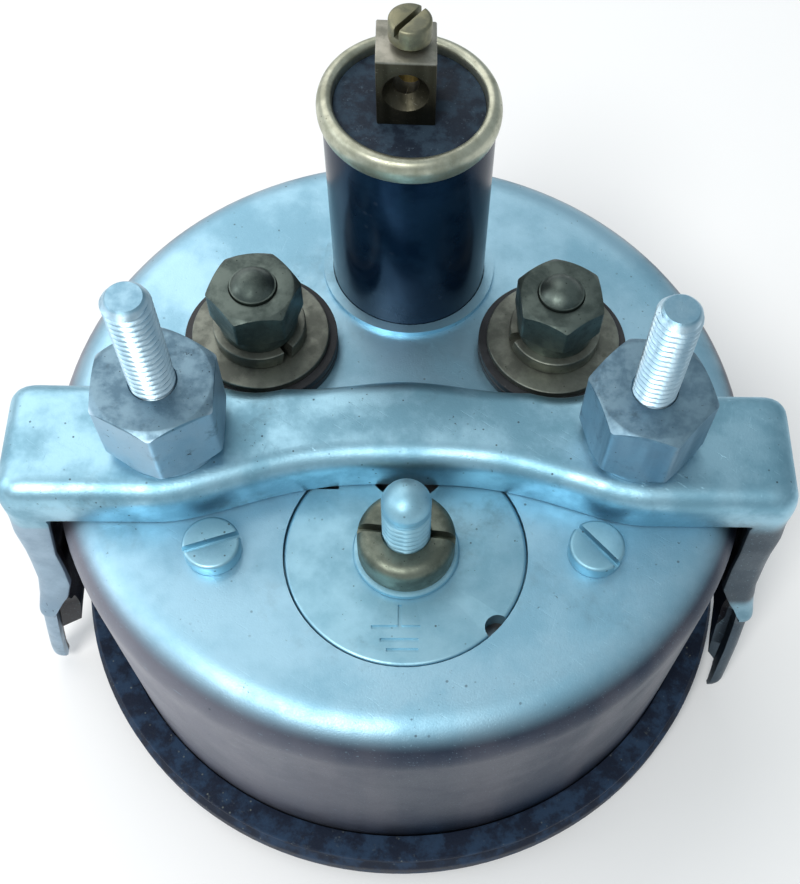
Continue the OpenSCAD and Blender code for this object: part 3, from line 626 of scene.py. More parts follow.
class Finish(Enum):
    """Every finish of the gauge."""

    # The can's fall paints its wall dark as shade and reflection of dark surroundings, with
    # painted reflection streaks and painted light on the viewer's left.
    CASE = Metal("satin_case", (0.40, 0.65, 0.79), (0.27, 0.50, 0.63), (0.07, 0.09, 0.11),
                 0.34, 0.56, 9.0, 0.14, 0.010, 0.45, 0.6, 1.1, coat=0.15,
                 fall=Fall((0.028, 0.042, 0.072), (0.065, 0.072, 0.100), 32.35, 30.6, 6.0,
                           (0.21, 0.215, 0.26)))
    DISC = Metal("stamped_disc", (0.36, 0.61, 0.73), (0.25, 0.47, 0.58), (0.06, 0.08, 0.09),
                 0.36, 0.58, 6.0, 0.14, 0.006, 0.4, 0.8, 0.9, coat=0.1)
    # The bracket's legs carry painted shade; see ChannelMetal.
    BRACKET = ChannelMetal("scuffed_zinc", (0.36, 0.61, 0.74), (0.21, 0.41, 0.52),
                           (0.05, 0.07, 0.08), 0.30, 0.5, 5.0, 0.15, 0.01, 0.8, 0.8, 0.9,
                           coat=0.05)
    # The nuts' fall paints reflection streaks on their sides, and paints the left nut's sides
    # lighter as light from the viewer's left.
    NUT = Metal("smudged_nut", (0.22, 0.34, 0.42), (0.13, 0.22, 0.29), (0.04, 0.05, 0.06),
                0.40, 0.58, 1.6, 0.14, 0.008, 0.5, 0.9, 0.6, coat=0.03,
                fall=Fall((0.15, 0.25, 0.33), (0.24, 0.36, 0.45), 43.62, 43.4, 2.0,
                          (0.46, 0.60, 0.70)))
    BRASS = Metal("tarnished_brass", (0.125, 0.155, 0.140), (0.065, 0.085, 0.078),
                  (0.02, 0.025, 0.02), 0.34, 0.54, 2.0, 0.14, 0.008, 0.5, 0.8, 0.6)
    OLIVE = Metal("olive_brass", (0.205, 0.23, 0.185), (0.115, 0.135, 0.11),
                  (0.02, 0.025, 0.02), 0.34, 0.54, 2.0, 0.14, 0.008, 0.5, 0.8, 0.6)
    # The block's fall paints its upright sides dark as shade and reflection of dark surroundings.
    BLOCK = Metal("block_brass", (0.36, 0.35, 0.30), (0.24, 0.24, 0.20), (0.03, 0.03, 0.02),
                  0.36, 0.56, 2.0, 0.14, 0.008, 0.5, 0.6, 0.6,
                  fall=Fall((0.042, 0.040, 0.028), (0.070, 0.066, 0.048), 57.9, 57.7, 1.5))
    PATINA = Metal("screw_brass", (0.27, 0.26, 0.17), (0.17, 0.175, 0.13), (0.03, 0.03, 0.02),
                   0.34, 0.54, 1.5, 0.14, 0.01, 0.6, 0.8, 0.5,
                   fall=Fall((0.72, 0.52, 0.18), (0.62, 0.45, 0.16), 58.3, 57.5, 1.5))
    WASHER = Metal("brown_washer", (0.23, 0.245, 0.21), (0.14, 0.15, 0.13), (0.03, 0.03, 0.02),
                   0.36, 0.56, 2.0, 0.14, 0.008, 0.5, 0.8, 0.6)
    GOLD = Metal("rolled_brass", (0.54, 0.55, 0.44), (0.34, 0.35, 0.27), (0.06, 0.06, 0.05),
                 0.30, 0.48, 2.4, 0.14, 0.006, 0.5, 0.7, 0.7)
    STUD = Metal("stud_zinc", (0.32, 0.52, 0.64), (0.22, 0.40, 0.52), (0.07, 0.09, 0.11),
                 0.3, 0.5, 2.0, 0.14, 0.008, 0.6, 0.6, 0.6,
                 fall=Fall((0.38, 0.56, 0.68), (0.54, 0.71, 0.81), 53.95, 53.75, 1.5))
    STEEL = Metal("brushed_steel", (0.62, 0.63, 0.65), (0.42, 0.43, 0.45), (0.12, 0.12, 0.12),
                  0.25, 0.45, 4.0, 0.16, 0.006, 0.4, 0.3, 1.0)
    MAGNET = Metal("sintered_magnet", (0.2, 0.2, 0.21), (0.12, 0.12, 0.13), (0.05, 0.05, 0.05),
                   0.45, 0.7, 1.5, 0.12, 0.02, 0.1, 0.5, 0.8)
    COPPER = Metal("enamelled_wire", (0.62, 0.26, 0.12), (0.42, 0.16, 0.07), (0.12, 0.05, 0.03),
                   0.25, 0.4, 2.0, 0.12, 0.02, 0.2, 0.3, 0.8, 0.7)
    BEZEL = Coat("mottled_black", (0.003, 0.008, 0.022), (0.016, 0.036, 0.074),
                 (0.22, 0.24, 0.20), 0.45, 0.3, 0.5, 2.2, 0.7, 0.02, gloss=0.35)
    RUBBER = Coat("panel_rubber", (0.004, 0.010, 0.026), (0.018, 0.040, 0.080),
                  (0.22, 0.25, 0.22), 0.6, 0.3, 0.5, 2.2, 0.7, 0.03, gloss=0.3)
    TUBE = Coat("gloss_black_tube", (0.002, 0.008, 0.020), (0.004, 0.014, 0.030),
                (0.2, 0.25, 0.3), 0.14, 0.08, 0.04, 5.0, 1.6, 0.003, 0.22, (0.08, 0.35, 0.9))
    INSULATOR = Coat("black_insulator", (0.010, 0.011, 0.013), (0.020, 0.022, 0.026),
                     (0.32, 0.32, 0.3), 0.35, 0.25, 0.3, 2.0, 0.9, 0.01)
    FIBRE = Coat("pressed_fibre", (0.006, 0.013, 0.026), (0.022, 0.042, 0.066),
                 (0.14, 0.20, 0.26), 0.5, 0.3, 0.6, 1.5, 0.30, 0.02, gloss=0.3)
    DIAL = Coat("dial_paint", (0.008, 0.008, 0.009), (0.012, 0.012, 0.013),
                (0.2, 0.2, 0.2), 0.5, 0.15, 0.05, 6.0, 2.0, 0.006)
    PRINT = Coat("dial_print", (0.78, 0.78, 0.72), (0.72, 0.72, 0.66),
                 (0.5, 0.5, 0.45), 0.5, 0.1, 0.05, 3.0, 1.5, 0.002)
    WHITE = Coat("pointer_paint", (0.82, 0.82, 0.78), (0.78, 0.78, 0.74),
                 (0.5, 0.5, 0.45), 0.4, 0.1, 0.1, 4.0, 1.5, 0.003)
    FORMER = Coat("moulded_former", (0.72, 0.66, 0.5), (0.66, 0.6, 0.45),
                  (0.4, 0.35, 0.25), 0.45, 0.15, 0.15, 3.0, 1.5, 0.01)
    LACQUER = Coat("green_lacquer", (0.16, 0.26, 0.12), (0.13, 0.22, 0.10),
                   (0.4, 0.4, 0.3), 0.3, 0.15, 0.2, 2.0, 1.2, 0.01)
    LEAD = Coat("red_lead", (0.36, 0.03, 0.03), (0.3, 0.03, 0.03),
                (0.3, 0.2, 0.2), 0.4, 0.15, 0.2, 2.0, 1.0, 0.008)
    GLASS = Clear("window_glass")
    BULB = Clear("bulb_glass", (0.55, 0.58, 0.56), 0.22)

    def material(self) -> bpy.types.Material:
        """Finds the material, and builds it at its first use.

        Returns:
            The material.
        """
        if self.name not in MADE:
            MADE[self.name] = self.value.build()
        return MADE[self.name]


def add_object(name: str, data: bpy.types.ID) -> bpy.types.Object:
    """Adds an object to the scene.

    Args:
        name: name of the object.
        data: its mesh, text, lamp or camera.

    Returns:
        The object.
    """
    made = bpy.data.objects.new(name, data)
    bpy.context.scene.collection.objects.link(made)
    return made


def evaluated(piece: bpy.types.Object) -> bpy.types.Mesh:
    """Turns an object and its modifiers into a plain mesh.

    Args:
        piece: the object.

    Returns:
        The new mesh.
    """
    view = bpy.context.evaluated_depsgraph_get()
    view.update()
    return bpy.data.meshes.new_from_object(piece.evaluated_get(view))


def shade(piece: bpy.types.Object, smooth_under: float = SMOOTH_UNDER) -> None:
    """Shades a piece smooth, apart from edges over an angle in radians."""
    piece.data.shade_smooth()
    piece.data.set_sharp_from_angle(angle=smooth_under)


class Shape:
    """Mesh under construction, in millimetres of the part's frame."""

    def __init__(self) -> None:
        """Starts an empty mesh."""
        self.bm = bmesh.new()

    def lathe(self, profile: Sequence[Point], at: Point = (0, 0), steps: int = 96,
              closed: bool = True) -> "Shape":
        """Spins a half profile round a vertical axis.

        Args:
            profile: points as radius and height.
            at: place of the axis.
            steps: number of sides.
            closed: whether the profile's last point joins its first.

        Returns:
            The shape itself.
        """
        verts = [self.bm.verts.new((at[0] + r, at[1], z)) for r, z in profile]
        pairs = list(zip(verts, verts[1:])) + ([(verts[-1], verts[0])] if closed else [])
        edges = [self.bm.edges.new(pair) for pair in pairs]
        bmesh.ops.spin(self.bm, geom=verts + edges, cent=(at[0], at[1], 0), axis=(0, 0, 1),
                       angle=TURN, steps=steps, use_merge=True)
        return self

    def skin(self, rings: Sequence[Sequence[Sequence[float]]], closed: bool = False) -> "Shape":
        """Extrudes a ring of edges through rings of equal length.

        Args:
            rings: lists of points, each a closed loop.
            closed: whether the last ring joins the first; otherwise both ends are filled.

        Returns:
            The shape itself.
        """
        count = len(rings[0])
        loop = [self.bm.verts.new(p) for p in rings[0]]
        edges = [self.bm.edges.new((loop[i], loop[(i + 1) % count])) for i in range(count)]
        first_edges = edges
        for ring in rings[1:]:
            made = bmesh.ops.extrude_edge_only(self.bm, edges=edges)["geom"]
            fresh = {v for v in made if isinstance(v, bmesh.types.BMVert)}
            loop = [next(e.other_vert(v) for e in v.link_edges if e.other_vert(v) in fresh)
                    for v in loop]
            for vert, point in zip(loop, ring):
                vert.co = point
            edges = [self.bm.edges.get((loop[i], loop[(i + 1) % count])) for i in range(count)]
        if closed:
            bmesh.ops.bridge_loops(self.bm, edges=edges + first_edges)
        else:
            for ends in (first_edges, edges):
                bmesh.ops.edgeloop_fill(self.bm, edges=ends)
        return self

    def box(self, low: Sequence[float], high: Sequence[float], turn: float = 0.0,
            about: Point = (0, 0)) -> "Shape":
        """Adds a box between two corners.

        Args:
            low: its lowest corner.
            high: its highest corner.
            turn: how far it is turned about a vertical axis, in degrees.
            about: place of that axis.

        Returns:
            The shape itself.
        """
        size = [b - a for a, b in zip(low, high)]
        middle = [(a + b) / 2 for a, b in zip(low, high)]
        axis = Matrix.Translation((*about, 0)) @ Matrix.Rotation(math.radians(turn), 4, "Z")
        place = axis @ Matrix.Translation(middle) @ Matrix.Diagonal((*size, 1))
        bmesh.ops.create_cube(self.bm, size=1, matrix=place)
        return self

    def rod(self, start: Sequence[float], end: Sequence[float], radius: float,
            end_radius: Optional[float] = None) -> "Shape":
        """Adds a cylinder or cone.

        Args:
            start: middle of its first end.
            end: middle of its other end.
            radius: radius at the first end.
            end_radius: radius at the other end, if it differs.

        Returns:
            The shape itself.
        """
        a, b = Vector(start), Vector(end)
        turn = (b - a).to_track_quat("Z", "Y").to_matrix().to_4x4()
        bmesh.ops.create_cone(
            self.bm, cap_ends=True, segments=ROD_STEPS, radius1=radius,
            radius2=radius if end_radius is None else end_radius, depth=(b - a).length,
            matrix=Matrix.Translation((a + b) / 2) @ turn)
        return self

    def band(self, about: Point, across: Point, heights: Point, start: float,
             end: float) -> "Shape":
        """Adds a square-edged band along an arc.

        Args:
            about: middle of the arc.
            across: inner and outer radius.
            heights: lower and upper height.
            start: first angle in degrees.
            end: last angle in degrees.

        Returns:
            The shape itself.
        """
        (inner, outer), (low, high) = across, heights
        corners = ((inner, low), (outer, low), (outer, high), (inner, high))
        rings = []
        for i in range(BAND_STEPS + 1):
            angle = math.radians(start + (end - start) * i / BAND_STEPS)
            rings.append([(about[0] + r * math.cos(angle), about[1] + r * math.sin(angle), z)
                          for r, z in corners])
        return self.skin(rings)

    def words(self, body: str, size: float, at: Sequence[float], depth: float) -> "Shape":
        """Adds raised words on a face that looks down the Z axis, read from below.

        Args:
            body: the words.
            size: height of a line in millimetres.
            at: middle of the words.
            depth: half of their thickness.

        Returns:
            The shape itself.
        """
        font = bpy.data.curves.new("words", "FONT")
        font.body = body
        font.size = size
        font.extrude = depth
        font.align_x = "CENTER"
        font.align_y = "CENTER"
        made = add_object("words", font)
        data = evaluated(made)
        data.transform(Matrix.Translation(at) @ Matrix.Rotation(math.pi, 4, "Y"))
        self.bm.from_mesh(data)
        bpy.data.objects.remove(made)
        return self

    def mesh(self, name: str, smooth_under: float = SMOOTH_UNDER) -> bpy.types.Object:
        """Finishes the mesh as an object in metres.

        Args:
            name: name of the object.
            smooth_under: angle under which an edge is shaded smooth.

        Returns:
            The object, linked to the scene.
        """
        bmesh.ops.remove_doubles(self.bm, verts=self.bm.verts, dist=MERGE_UNDER)
        bmesh.ops.recalc_face_normals(self.bm, faces=self.bm.faces)
        bmesh.ops.scale(self.bm, vec=(MM, MM, MM), verts=self.bm.verts)
        data = bpy.data.meshes.new(name)
        self.bm.to_mesh(data)
        self.bm.free()
        made = add_object(name, data)
        shade(made, smooth_under)
        return made


def join(piece: bpy.types.Object, others: Sequence[bpy.types.Object]) -> None:
    """Moves the meshes of other objects into a piece.

    Args:
        piece: the piece that keeps them.
        others: the objects, which are deleted.
    """
    both = bmesh.new()
    for part in (piece, *others):
        both.from_mesh(part.data)
    both.to_mesh(piece.data)
    both.free()
    for part in others:
        bpy.data.objects.remove(part)


def settle(piece: bpy.types.Object) -> None:
    """Applies a piece's modifiers to its mesh.

    Args:
        piece: the piece.
    """
    data = evaluated(piece)
    piece.modifiers.clear()
    piece.data = data


def carve(piece: bpy.types.Object, tools: Sequence[Shape]) -> None:
    """Cuts shapes out of a piece.

    Args:
        piece: the piece that is cut.
        tools: shapes that are cut away and then deleted.
    """
    cutters = [tool.mesh(f"{piece.name}_tool_{i}") for i, tool in enumerate(tools)]
    for cutter in cutters:
        step = piece.modifiers.new("cut", "BOOLEAN")
        step.operation = "DIFFERENCE"
        step.solver = "EXACT"
        step.object = cutter
    settle(piece)
    for cutter in cutters:
        bpy.data.objects.remove(cutter)
    shade(piece)


def soften(piece: bpy.types.Object, width: float) -> None:
    """Rounds a piece's sharp edges and shades it smooth.

    Args:
        piece: the piece.
        width: width of the rounding.
    """
    step = piece.modifiers.new("edges", "BEVEL")
    step.width = width * MM
    step.segments = BEVEL_STEPS
    step.limit_method = "ANGLE"
    step.angle_limit = SOFTEN_OVER
    step.use_clamp_overlap = True
    settle(piece)
    shade(piece)


def copy_node(frame: dict, node: str, name: str, width: float = 0.0) -> bpy.types.Object:
    """Copies a CAD node's mesh as a merged, smooth piece.

    Args:
        node: name of the CAD node.
        name: name of the new piece.
        width: rounding of its sharp edges.

    Returns:
        The new piece.
    """
    bm = bmesh.new()
    bm.from_mesh(frame["nodes"][node].data)
    bmesh.ops.remove_doubles(bm, verts=bm.verts, dist=MERGE_UNDER * MM)
    bmesh.ops.dissolve_limit(bm, angle_limit=FLAT_UNDER, verts=bm.verts, edges=bm.edges)
    data = bpy.data.meshes.new(name)
    bm.to_mesh(data)
    bm.free()
    made = add_object(name, data)
    shade(made)
    if width > 0:
        soften(made, width)
    return made


def dress(piece: bpy.types.Object, finish: Finish, body: str, slot: str, *names: str) -> None:
    """Gives a new piece its finish, its body and the CAD nodes that it stands for.

    Args:
        piece: the piece.
        finish: its finish.
        body: CAD body on which it rides.
        slot: material slot of the record; not used.
        names: CAD nodes that it replaces.
    """
    piece.data.materials.clear()
    piece.data.materials.append(finish.material())
    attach(piece, body)
    if names:
        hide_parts(*names)
    LOG.info("%s: %d faces on %s", piece.name, len(piece.data.polygons), body)


def paint(frame: dict, finishes: Sequence[tuple[str, Finish]]) -> None:
    """Gives CAD nodes their finishes.

    Args:
        finishes: names of the nodes with their finishes.
    """
    for node, finish in finishes:
        data = frame["nodes"][node].data
        data.materials.clear()
        data.materials.append(finish.material())
        LOG.info("%s: painted %s", node, finish.value.name)


@dataclass
class Camera:
    """Camera at the photograph's place.

    Angles are in radians, focal and middle in photo pixels, near and far in metres.
    """

    place: Place = (0.316, -54.16, 120.68)
    yaw: float = 0.163
    pitch: float = 1.114
    roll: float = -0.155
    focal: float = 1200.6
    middle: Point = (496.5, 533.6)
    sensor: float = 36.0
    near: float = 0.005
    far: float = 10.0

    def build(self) -> None:
        """Sets the scene's camera."""
        ahead = Vector((math.sin(self.yaw) * math.cos(self.pitch),
                        math.cos(self.yaw) * math.cos(self.pitch), -math.sin(self.pitch)))
        level = ahead.cross(Vector((0, 0, 1))).normalized()
        below = ahead.cross(level)
        right = math.cos(self.roll) * level + math.sin(self.roll) * below
        down = -math.sin(self.roll) * level + math.cos(self.roll) * below
        data = bpy.data.cameras.new("camera")
        data.sensor_fit = "VERTICAL"
        data.sensor_height = self.sensor
        data.lens = self.focal / PHOTO_H * self.sensor
        data.shift_x = (PHOTO_W / 2 - self.middle[0]) / PHOTO_H
        data.shift_y = (self.middle[1] - PHOTO_H / 2) / PHOTO_H
        data.clip_start = self.near
        data.clip_end = self.far
        made = add_object("camera", data)
        turn = Matrix((right, -down, -ahead)).transposed().to_4x4()
        made.matrix_world = Matrix.Translation(Vector(self.place) * MM) @ turn
        bpy.context.scene.camera = made


@dataclass(frozen=True)
class Lamp:
    """Round soft lamp that points at the part, in metres and watts."""

    name: str
    place: Place
    size: float
    power: float
    colour: Colour
    target: Place = (0.0, 0.0, 0.03)

    def build(self) -> None:
        """Adds the lamp."""
        data = bpy.data.lights.new(self.name, "AREA")
        data.shape = "DISK"
        data.size = self.size
        data.energy = self.power
        data.color = self.colour
        lamp = add_object(self.name, data)
        lamp.location = self.place
        sight = Vector(self.target) - Vector(self.place)
        lamp.rotation_euler = sight.to_track_quat("-Z", "Y").to_euler()


@dataclass
class Studio:
    """Plain pale floor, plain sky and soft lamps."""

    sky: Colour = (0.84, 0.94, 1.0)
    sky_strength: float = 0.48
    floor: Colour = (0.9, 0.9, 0.9)
    floor_rough: float = 0.7
    floor_half: float = 900.0
    floor_z: Point = (-4.0, -0.02)
    lamps: tuple[Lamp, ...] = (
        Lamp("front", (-0.22, -0.38, 0.62), 0.28, 3.2, (1.0, 0.98, 0.95)),
        Lamp("back", (-0.30, 0.42, 0.50), 0.8, 2.2, (1.0, 0.96, 0.93)),
        Lamp("side", (-0.6, 0.0, 0.3), 0.4, 1.0, (0.97, 0.98, 1.0)),
    )

    def build(self) -> None:
        """Adds floor, sky and lamps."""
        half, (low, high) = self.floor_half, self.floor_z
        floor = Shape().box((-half, -half, low), (half, half, high)).mesh("floor")
        pale = Graph("pale_floor").surface(Base_Color=self.floor, Roughness=self.floor_rough)
        floor.data.materials.append(pale)
        world = bpy.data.worlds.new("sky")
        world.use_nodes = True
        back = world.node_tree.nodes["Background"]
        back.inputs["Color"].default_value = opaque(self.sky)
        back.inputs["Strength"].default_value = self.sky_strength
        bpy.context.scene.world = world
        for lamp in self.lamps:
            lamp.build()
        view = bpy.context.scene.view_settings
        view.view_transform = "Standard"
        view.look = "None"


@dataclass(frozen=True)
class Thread:
    """Screw thread on a vertical bar.

    Attributes:
        radius: radius over the crests.
        root: radius in the roots.
        flank: steepness of the flanks.
        flat: how wide the roots are left flat.
        sill: height of the ring that starts a dome.
        peak: distance of a dome's last ring from its top.
        dome_step: degrees between a dome's other rings.
        chamfer_steps: chords of a chamfer.
    """

    radius: float
    root: float
    pitch: float
    steps: int = 40
    per_pitch: int = 8
    flank: float = 1.45
    flat: float = 0.2
    sill: float = 0.02
    peak: float = 0.002
    dome_step: int = 8
    chamfer_steps: int = 3

    def radius_at(self, turn: float, z: float) -> float:
        """Works out the thread's radius at a point.

        Args:
            turn: angle in radians.
            z: height.

        Returns:
            The radius.
        """
        phase = (z / self.pitch - turn / TURN) % 1.0
        rise = min(max(self.flank * (1 - abs(2 * phase - 1)) - self.flat, 0.0), 1.0)
        return self.root + (self.radius - self.root) * rise

    def levels(self, low: float, high: float, dome: float, chamfer: float) -> list[float]:
        """Lists the heights of a bar's rings.

        Args:
            low: height of its foot.
            high: height of its top.
            dome: height of a domed end, or 0.
            chamfer: height of a chamfered end, or 0.

        Returns:
            The heights from the foot up.
        """
        top = high - (dome or chamfer)
        step = self.pitch / self.per_pitch
        levels = [low]
        while levels[-1] + step < top:
            levels.append(levels[-1] + step)
        if dome:
            angles = [math.radians(a) for a in range(self.dome_step, 88, self.dome_step)]
            levels += [top, top + self.sill] + [top + dome * math.sin(a) for a in angles]
            levels.append(high - self.peak)
        else:
            count = self.chamfer_steps
            levels += [top + chamfer * k / count for k in range(count + 1)]
        return levels

    def bar(self, shape: Shape, at: Point, low: float, high: float, dome: float = 0.0,
            chamfer: float = 0.0, bare_from: Optional[float] = None,
            shoulder: float = 0.0) -> Shape:
        """Adds a threaded bar.

        Args:
            shape: the shape that it joins.
            at: place of its axis.
            low: height of its foot.
            high: height of its top.
            dome: height of a domed end.
            chamfer: width of a chamfered end.
            bare_from: height over which the bar is plain.
            shoulder: width of the flat rim round a domed end.

        Returns:
            The shape.
        """
        top = high - (dome or chamfer)
        dome_r = self.radius - shoulder
        ball = (dome_r ** 2 + dome ** 2) / (2 * dome) if dome else 0.0
        rings = []
        for z in self.levels(low, high, dome, chamfer):
            limit = self.radius
            if dome and z > top:
                limit = math.sqrt(max(ball ** 2 - (z - high + ball) ** 2, 1e-4))
            elif chamfer and z > top:
                limit = self.radius - (z - top)
            ring = []
            for i in range(self.steps):
                turn = TURN * i / self.steps
                r = self.radius_at(turn, z)
                if bare_from is not None:
                    blend = smooth((z - bare_from) / self.pitch + 0.5)
                    r = r * (1 - blend) + self.radius * blend
                r = min(r, limit)
                ring.append((at[0] + r * math.cos(turn), at[1] + r * math.sin(turn), z))
            rings.append(ring)
        return shape.skin(rings)


@dataclass(frozen=True)
class HexNut:
    """Hexagon nut with chamfered corners on top and a round face below.

    Attributes:
        face: height of the round face.
        lip: width of the bore's chamfers.
        slope: rise of the corners' chamfers.
        corner: how much of the full corner is left, as a share.
        foot_r: radius of the round face, as a share of half the width across flats.
        edge_r: radius of the flat end faces, as the same share.
    """

    flats: float
    height: float
    bore: float
    face: float
    steps: int = 192
    lip: float = 0.08
    slope: float = 0.72
    corner: float = 0.988
    foot_r: float = 0.975
    edge_r: float = 0.96

    def build(self, shape: Shape, at: Point, foot: float, turn: float) -> Shape:
        """Adds the nut to a shape.

        Args:
            shape: the shape that it joins.
            at: place of its axis.
            foot: height of its lower face.
            turn: angle of a corner in degrees.

        Returns:
            The shape.
        """
        flat, top = self.flats / 2, self.height
        widest = flat / math.cos(math.pi / 6) * self.corner
        rim, edge = self.bore + self.lip, flat * self.edge_r
        stations = [
            (rim, 0.0, 0.0), (edge, 0.0, 0.0), (flat * self.foot_r, 0.05, 0.0),
            (flat * self.foot_r, self.face, 0.0), (None, self.face, self.slope),
            (None, top - 0.04, -self.slope), (flat * 0.99, top - 0.03, 0.0),
            (edge, top, 0.0), (rim, top, 0.0), (self.bore, top - self.lip, 0.0),
            (self.bore, self.lip, 0.0)]
        rings = []
        for r, level, slope in stations:
            ring = []
            for i in range(self.steps):
                angle = TURN * i / self.steps
                side = min(flat / math.cos(angle % (math.pi / 3) - math.pi / 6), widest)
                reach = side if r is None else r
                z = foot + level + (side - flat) * slope
                spun = angle + math.radians(turn)
                ring.append((at[0] + reach * math.cos(spun), at[1] + reach * math.sin(spun), z))
            rings.append(ring)
        return shape.skin(rings, closed=True)


@dataclass(frozen=True)
class Washer:
    """Flat ring with rounded edges."""

    outer: float
    inner: float
    thickness: float
    edge: float = 0.15

    def build(self, shape: Shape, at: Point, foot: float) -> Shape:
        """Adds the washer to a shape, and returns the shape."""
        corners = [(self.inner, foot), (self.outer, foot),
                   (self.outer, foot + self.thickness), (self.inner, foot + self.thickness)]
        return shape.lathe(rounded(corners, self.edge), at)


@dataclass(frozen=True)
class LockWasher:
    """Split ring of square wire, whose gap leans by slant over its height."""

    outer: float
    inner: float
    thickness: float
    gap: float = 0.9
    slant: float = 0.3
    edge: float = 0.18
    steps: int = 84

    def build(self, shape: Shape, at: Point, foot: float, gap_at: float) -> Shape:
        """Adds the split washer to a shape.

        Args:
            shape: the shape that it joins.
            at: place of its axis.
            foot: height of its lower face.
            gap_at: angle of its gap in degrees.

        Returns:
            The shape.
        """
        section = rounded([(self.inner, 0.0), (self.outer, 0.0),
                           (self.outer, self.thickness), (self.inner, self.thickness)], self.edge)
        half = self.gap / 2 / self.outer
        rings = []
        for i in range(self.steps + 1):
            ring = []
            for r, h in section:
                slant = self.slant * (h / self.thickness - 0.5) / self.outer
                start = math.radians(gap_at) + half + slant
                angle = start + (TURN - 2 * half) * i / self.steps
                ring.append((at[0] + r * math.cos(angle), at[1] + r * math.sin(angle), foot + h))
            rings.append(ring)
        return shape.skin(rings)


@dataclass(frozen=True)
class SlottedHead:
    """Cheese head with a rounded edge, a screwdriver slot and a plain shank."""

    radius: float
    height: float
    shank: float
    shank_length: float
    slot: float
    slot_depth: float
    edge: float = 0.3
    foot_edge: float = 0.08
    soft: float = 0.05
    steps: int = 64

    def build(self, name: str, at: Point, foot: float, turn: float) -> bpy.types.Object:
        """Makes the screw.

        Args:
            name: name of the piece.
            at: place of its axis.
            foot: height of the head's lower face.
            turn: direction of the slot in degrees.

        Returns:
            The piece.
        """
        r, top, low = self.radius, foot + self.height, foot - self.shank_length
        profile = [(0, low), (self.shank, low), (self.shank, foot), (r - self.foot_edge, foot),
                   (r, foot + self.foot_edge)]
        profile += arc((r - self.edge, top - self.edge), self.edge, 0, 90, 5) + [(0, top)]
        made = Shape().lathe(profile, at, self.steps, closed=False).mesh(name)
        cut = Shape().box((-2 * r, -self.slot / 2, top - self.slot_depth),
                          (2 * r, self.slot / 2, top + PAST), turn, at)
        carve(made, [cut])
        soften(made, self.soft)
        return made


@dataclass(frozen=True)
class Leg:
    """One leg's outline, in tables from the top down.

    Attributes:
        outer: height and distance of the outer face from the middle plane.
        lip: height and distance of the front flange's free edge.
        front: height and Y of the front face.
        arch: Y and height round the cut between the toes.
        web: height and distance of the outer face behind the front edge.
    """

    outer: tuple[Point, ...]
    lip: tuple[Point, ...]
    front: tuple[Point, ...]
    arch: tuple[Point, ...]
    web: tuple[Point, ...]


